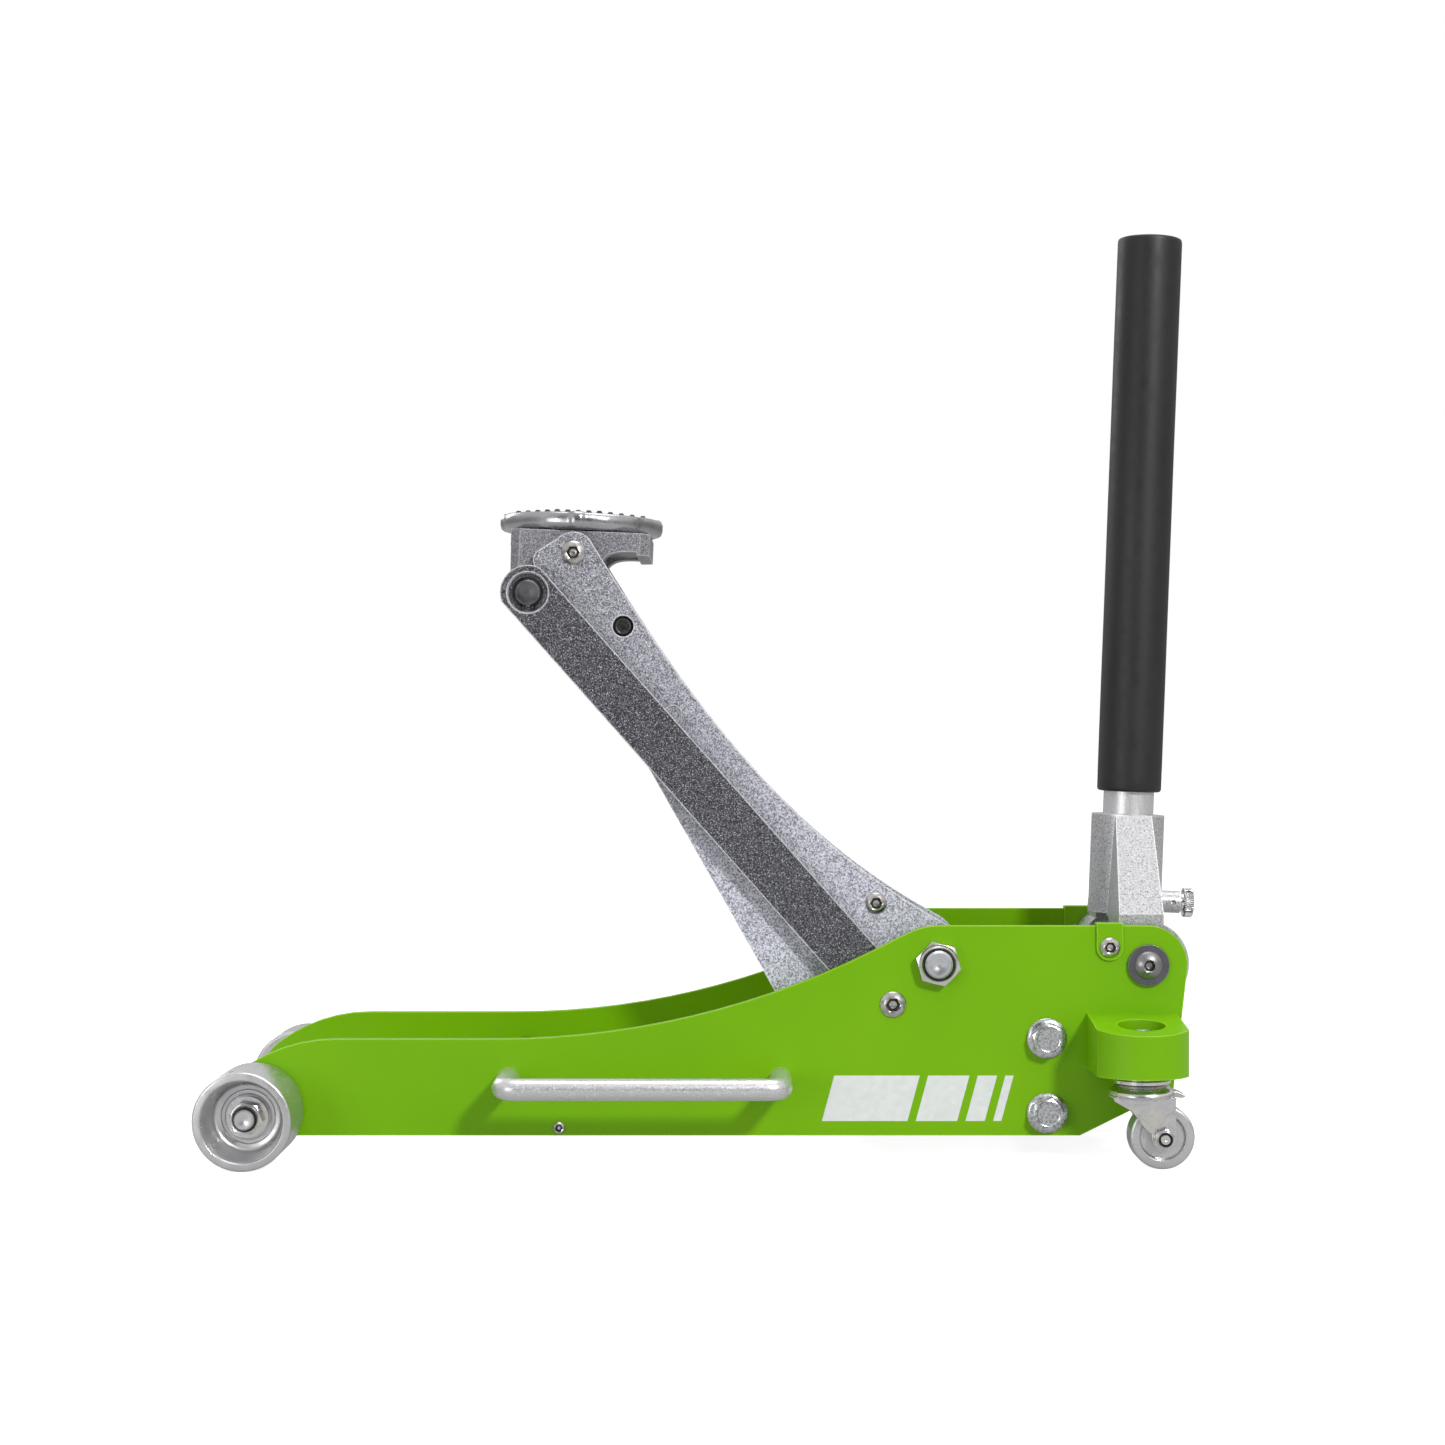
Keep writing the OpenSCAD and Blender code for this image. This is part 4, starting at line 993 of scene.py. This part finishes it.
def add_caster_forks():
    """Pressed forks: a dished and rolled top, smooth legs and a bent rear tab."""
    for side_name in SIDES:
        pin = joint_point(f"caster_{side_name}_swivel")
        axle = joint_point(f"caster_wheel_{side_name}_spin")
        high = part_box(f"caster_fork_{side_name}")[1]
        body = f"caster_{side_name}"
        node = f"caster_fork_{side_name}"
        top = high.z / MM
        place = Matrix.Translation((pin.x, pin.y, 0))
        rings = [
            (6.1, top - 8.6), (12, top - 8.9), (20.5, top - 9.6), (22.8, top - 9.0), (23.9, top - 7.2),
            (23.6, top - 5.4), (22.3, top - 4.0), (20.6, top - 3.0), (19.6, top - 2.0), (18.8, top - 0.6),
            (17.5, top), (6.1, top),
        ]
        dish = new_piece(f"fork_top_{side_name}", polar_bmesh(rings, 96, True), place, 40)
        finish_piece(dish, body, "zinc_plate", None, (node,))
        trail = (axle.x - pin.x) / MM
        level = axle.z / MM
        outline = (
            [(-22.5, top - 8.2), (-21.0, top - 11.4), (-15.5, top - 14.6), (-9.5, top - 18.0),
             (-5.0, top - 23.0), (-1.0, top - 29.0), (2.6, level + 4.2)]
            + arc_points((trail, level), 8.6, 160, 345, 14)
            + [(22.6, level + 5), (22.4, top - 22), (22.0, top - 15), (22.6, top - 8.2)]
        )
        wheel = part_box(f"caster_wheel_{side_name}")
        leg_gap = (wheel[1].y - wheel[0].y) / 2 + 0.5 * MM
        thickness = 2.4
        for number, leg in enumerate((-1, 1)):
            start = pin.y + leg * leg_gap if leg > 0 else pin.y - leg_gap - thickness * MM
            turn = Matrix.Translation((pin.x, start, 0)) @ SWAP_YZ
            leg_piece = new_piece(f"fork_leg_{number}_{side_name}", slab_bmesh(outline, thickness, turn))
            round_edges(leg_piece, 0.6 * MM)
            finish_piece(leg_piece, body, "zinc_plate", None, (node,))
        tab = [(18, top - 8.8), (22, top - 8.8), (26.5, top - 9.6), (29.7, top - 9.2), (29.9, top - 7.6),
               (27.5, top - 6.4), (24, top - 5.0), (18, top - 4.8)]
        turn = Matrix.Translation((pin.x, pin.y - 8 * MM, 0)) @ SWAP_YZ
        tab_piece = new_piece(f"fork_tab_{side_name}", slab_bmesh(tab, 16, turn))
        round_edges(tab_piece, 0.6 * MM)
        finish_piece(tab_piece, body, "zinc_plate", None, (node,))


def add_caster_bolts():
    """Wheel bolts: a hexagon head inside, a lock nut and the chamfered shank's end outside."""
    for side_name, side in SIDES.items():
        axle = joint_point(f"caster_wheel_{side_name}_spin")
        low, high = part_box(f"caster_axle_{side_name}")
        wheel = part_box(f"caster_wheel_{side_name}")
        face = (wheel[1].y - wheel[0].y) / 2 / MM + 3.0
        reach = max(abs(low.y), abs(high.y)) / MM - abs(axle.y) / MM
        place = pointing(axle, (0, side, 0))
        rings = [(0, -face - 4.6)] + [round_ring(13, 6.2, -face - 5), hex_ring(13, -face - 4.6),
                                      hex_ring(13, -face), (4, -face), (4, reach - 1), (3.2, reach),
                                      (1.2, reach), (0, reach - 0.8)]
        rod = new_piece(f"wheel_bolt_{side_name}", polar_bmesh(rings), place)
        finish_piece(rod, f"caster_{side_name}", "zinc_plate", None, (f"caster_axle_{side_name}",))
        nut = new_piece(f"wheel_nut_{side_name}", polar_bmesh(lock_nut_rings(13, 4.6, 4.05, 5.6)),
                        place @ Matrix.Translation((0, 0, face * MM)) @ turned(0.3))
        finish_piece(nut, f"caster_{side_name}", "zinc_plate", None, (f"caster_axle_{side_name}",))
        # Painted shade: the nut's bore round the bolt's end is painted near-black.
        paint_gap_shade(nut, 8, 14)


def solids_of(name):
    """The low and high corner of each separate solid in a CAD node."""
    bm = bmesh.new()
    bm.from_mesh(frame["nodes"][name].data)
    bmesh.ops.remove_doubles(bm, verts=bm.verts, dist=5e-6)
    left = set(bm.verts)
    boxes = []
    while left:
        stack = [left.pop()]
        found = list(stack)
        while stack:
            for edge in stack.pop().link_edges:
                for vert in edge.verts:
                    if vert in left:
                        left.remove(vert)
                        stack.append(vert)
                        found.append(vert)
        points = [vert.co for vert in found]
        boxes.append([Vector([pick(p[k] for p in points) for k in range(3)]) for pick in (min, max)])
    bm.free()
    return sorted(boxes, key=lambda box: (round(box[0].x, 4), box[0].y))


def button_rings(head_r, head_h, shank_r, length, socket):
    """Domed head with a hexagon socket, its under side at z = 0."""
    rise = head_h * 0.82
    ball = (head_r ** 2 + rise ** 2) / (2 * rise)
    rim = head_h - rise
    rings = [(0, -length), (shank_r - 0.8, -length), (shank_r, 0.8 - length), (shank_r, 0), (head_r - 0.3, 0),
             (head_r, rim * 0.5)]
    for step in range(1, 11):
        r = head_r - step * (head_r - socket * 0.64) / 10
        rings.append((r, rim + math.sqrt(ball ** 2 - r ** 2) - (ball - rise)))
    top = rings[-1][1]
    rings += [hex_ring(socket, top - 0.25), hex_ring(socket - 0.2, top - 0.5),
              hex_ring(socket - 0.2, head_h * 0.28)]
    return rings, [(socket * 0.30, head_h * 0.28), (socket * 0.22, head_h * 0.22), (0, head_h * 0.22)]


BUTTONS = {
    "frame_button_screws": (4.4, 4.0, 0.52, None),
    "arm_button_screws": (4.2, 4.0, 0.52, None),
    "arm_top_screws": (4.3, 4.0, 0.52, None),
    "arm_set_screws": (3.9, 4.0, 0.62, "black"),
    "yoke_pivot_screws": (5.0, 8.0, 0.40, "dark"),
    "link_lower_pins": (5.0, 8, 0.50, None),
}


def add_buttons():
    """Button heads whose sockets are painted near-black as painted shade, in place of the plain CAD screws."""
    looks = {"black": LOOKS["black_steel"], "dark": BUTTON_METAL, None: SCREW_METAL}
    bodies = {node: body for body, nodes in RECORD["behaviour"]["bodies"].items() for node in nodes}
    for node, (head_h, shank_r, share, finish) in BUTTONS.items():
        for number, (low, high) in enumerate(solids_of(node)):
            side = 1 if low.y + high.y > 0 else -1
            head_r = (high.x - low.x) / 2 / MM * (1.17 if node == "yoke_pivot_screws" else 1)
            outer = max(abs(low.y), abs(high.y))
            length = abs(high.y - low.y) / MM - head_h
            place = pointing(((low.x + high.x) / 2, side * (outer - head_h * MM), (low.z + high.z) / 2),
                             (0, side, 0))
            rings, floor = button_rings(head_r, head_h, shank_r, length, 2 * head_r * share * 0.92)
            obj = new_piece(f"{node}_{number}", polar_bmesh(rings + floor), place)
            obj.data.materials.append(looks[finish])
            # Painted shade: the socket's walls and floor are painted near-black.
            paint_gap_shade(obj, len(rings) - 3, len(rings))
            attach(obj, bodies[node])
            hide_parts(node)


def round_edges(obj, width, segments=2):
    bevel = obj.modifiers.new("bevel", "BEVEL")
    bevel.width = width
    bevel.segments = segments
    bevel.limit_method = "ANGLE"
    bevel.angle_limit = math.radians(35)
    bevel.harden_normals = True


# ---- handle ----

def add_grip():
    """Foam sleeve: slightly uneven, rolled in at both ends, open at the top round the tube."""
    low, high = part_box("handle_grip")
    foot = HANDLE_FOOT
    top_t = (high.z - foot.z) / HANDLE_AXIS.z / MM - 0.4
    bottom_t = (low.z - foot.z) / HANDLE_AXIS.z / MM + 0.9
    outer = 24.1
    inner = 19.0

    def skin(radius, height):
        def ring(angle):
            spot = Vector((math.cos(angle) * 1.2, math.sin(angle) * 1.2, height * 0.012))
            return radius + 0.16 * noise.noise(spot), height
        return ring

    rings = [(inner, bottom_t + 1.5), (inner + 0.2, bottom_t), (inner + 2.2, bottom_t - 0.2),
             (outer - 1.6, bottom_t), (outer - 0.4, bottom_t + 0.9)]
    steps = 60
    rings += [skin(outer, bottom_t + 2.2 + (top_t - bottom_t - 5.4) * i / steps) for i in range(steps + 1)]
    rings += [(outer - 0.2, top_t - 1.2), (outer - 0.6, top_t - 0.4), (outer - 1.4, top_t - 0.05),
              (inner + 1.2, top_t), (inner + 0.1, top_t - 0.6)]
    grip = new_piece("foam_grip", polar_bmesh(rings, 96, True), pointing(foot, HANDLE_AXIS), 60)
    finish_piece(grip, "handle", "black_foam", None, ("handle_grip",))


def add_knob():
    """Thumb screw with a straight-knurled, chamfered head."""
    centre = joint_point("knob_turn")
    axis = joint_axis("knob_turn")
    teeth = 46

    def knurl(radius, depth, z):
        return lambda angle: (radius - depth * (0.5 - 0.5 * math.cos(teeth * angle)), z)

    rings = [
        (0, 19.3), (3.2, 19.3), (3.95, 20.2), (3.95, 42.2), (7.0, 42.2), (7.0, 43.6), (9.8, 43.8),
        (10.6, 44.0), knurl(11.3, 0.5, 45.0), knurl(11.4, 0.8, 45.6), knurl(11.4, 0.8, 49.6),
        knurl(11.3, 0.5, 50.2), (10.5, 51.0), (9.2, 51.2), (8.4, 50.8), (0, 50.7),
    ]
    obj = new_piece("knurled_knob", polar_bmesh(rings, teeth * 6), pointing(centre, axis), 30)
    finish_piece(obj, "knob", "chrome_plate", None, ("retaining_knob",))


# ---- decal ----

def add_decals():
    """Plain slanted bars printed on each side plate: a generic graphic with no lettering."""
    low_z, height, slant = 27.0, 33.0, 9.0
    start_x = 80.0
    widths = (62, 30, 14, 6)
    gap = 6.0
    for side_name, side in SIDES.items():
        bm = bmesh.new()
        x = start_x
        for width in widths:
            corners = ((x, low_z), (x + width, low_z), (x + width + slant, low_z + height),
                       (x + slant, low_z + height))
            faces = []
            for lift in (0.0, 0.12):
                depth = side * (PLATE_OUT + lift * MM)
                faces.append([bm.verts.new((px * MM, depth, pz * MM)) for px, pz in corners])
            bm.faces.new(faces[0])
            bm.faces.new(faces[1])
            for k in range(4):
                j = (k + 1) % 4
                bm.faces.new((faces[0][k], faces[0][j], faces[1][j], faces[1][k]))
            x += width + gap
        decal = new_piece(f"decal_{side_name}", bm)
        decal.data.materials.append(DECAL)
        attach(decal, "chassis")


def add_floor():
    """A pale floor far wider than the jack, lit through from below like a studio sweep."""
    look = Look("pale_floor", (0.30, 0.30, 0.30), roughness=0.8, Emission_Strength=1.0)
    look.drift(1.2, 2, 0.3, 0.7, (0.29, 0.29, 0.29), (0.31, 0.31, 0.31))
    path = look.tree.nodes.new("ShaderNodeLightPath")
    glow = look.blend(path.outputs["Is Camera Ray"], (0.16, 0.16, 0.16), (0.90, 0.90, 0.90))
    look.link(glow, "Emission Color")
    bm = bmesh.new()
    bmesh.ops.create_grid(bm, x_segments=2, y_segments=2, size=14)
    floor = new_piece("floor", bm)
    floor.data.materials.append(look.mat)


add_camera()
add_studio()
add_floor()
dress_nodes()
add_fasteners()
add_link_pin()
add_saddle()
add_springs()
add_caster_forks()
add_caster_bolts()
add_buttons()
add_arm_plugs()
add_grip()
add_knob()
add_decals()
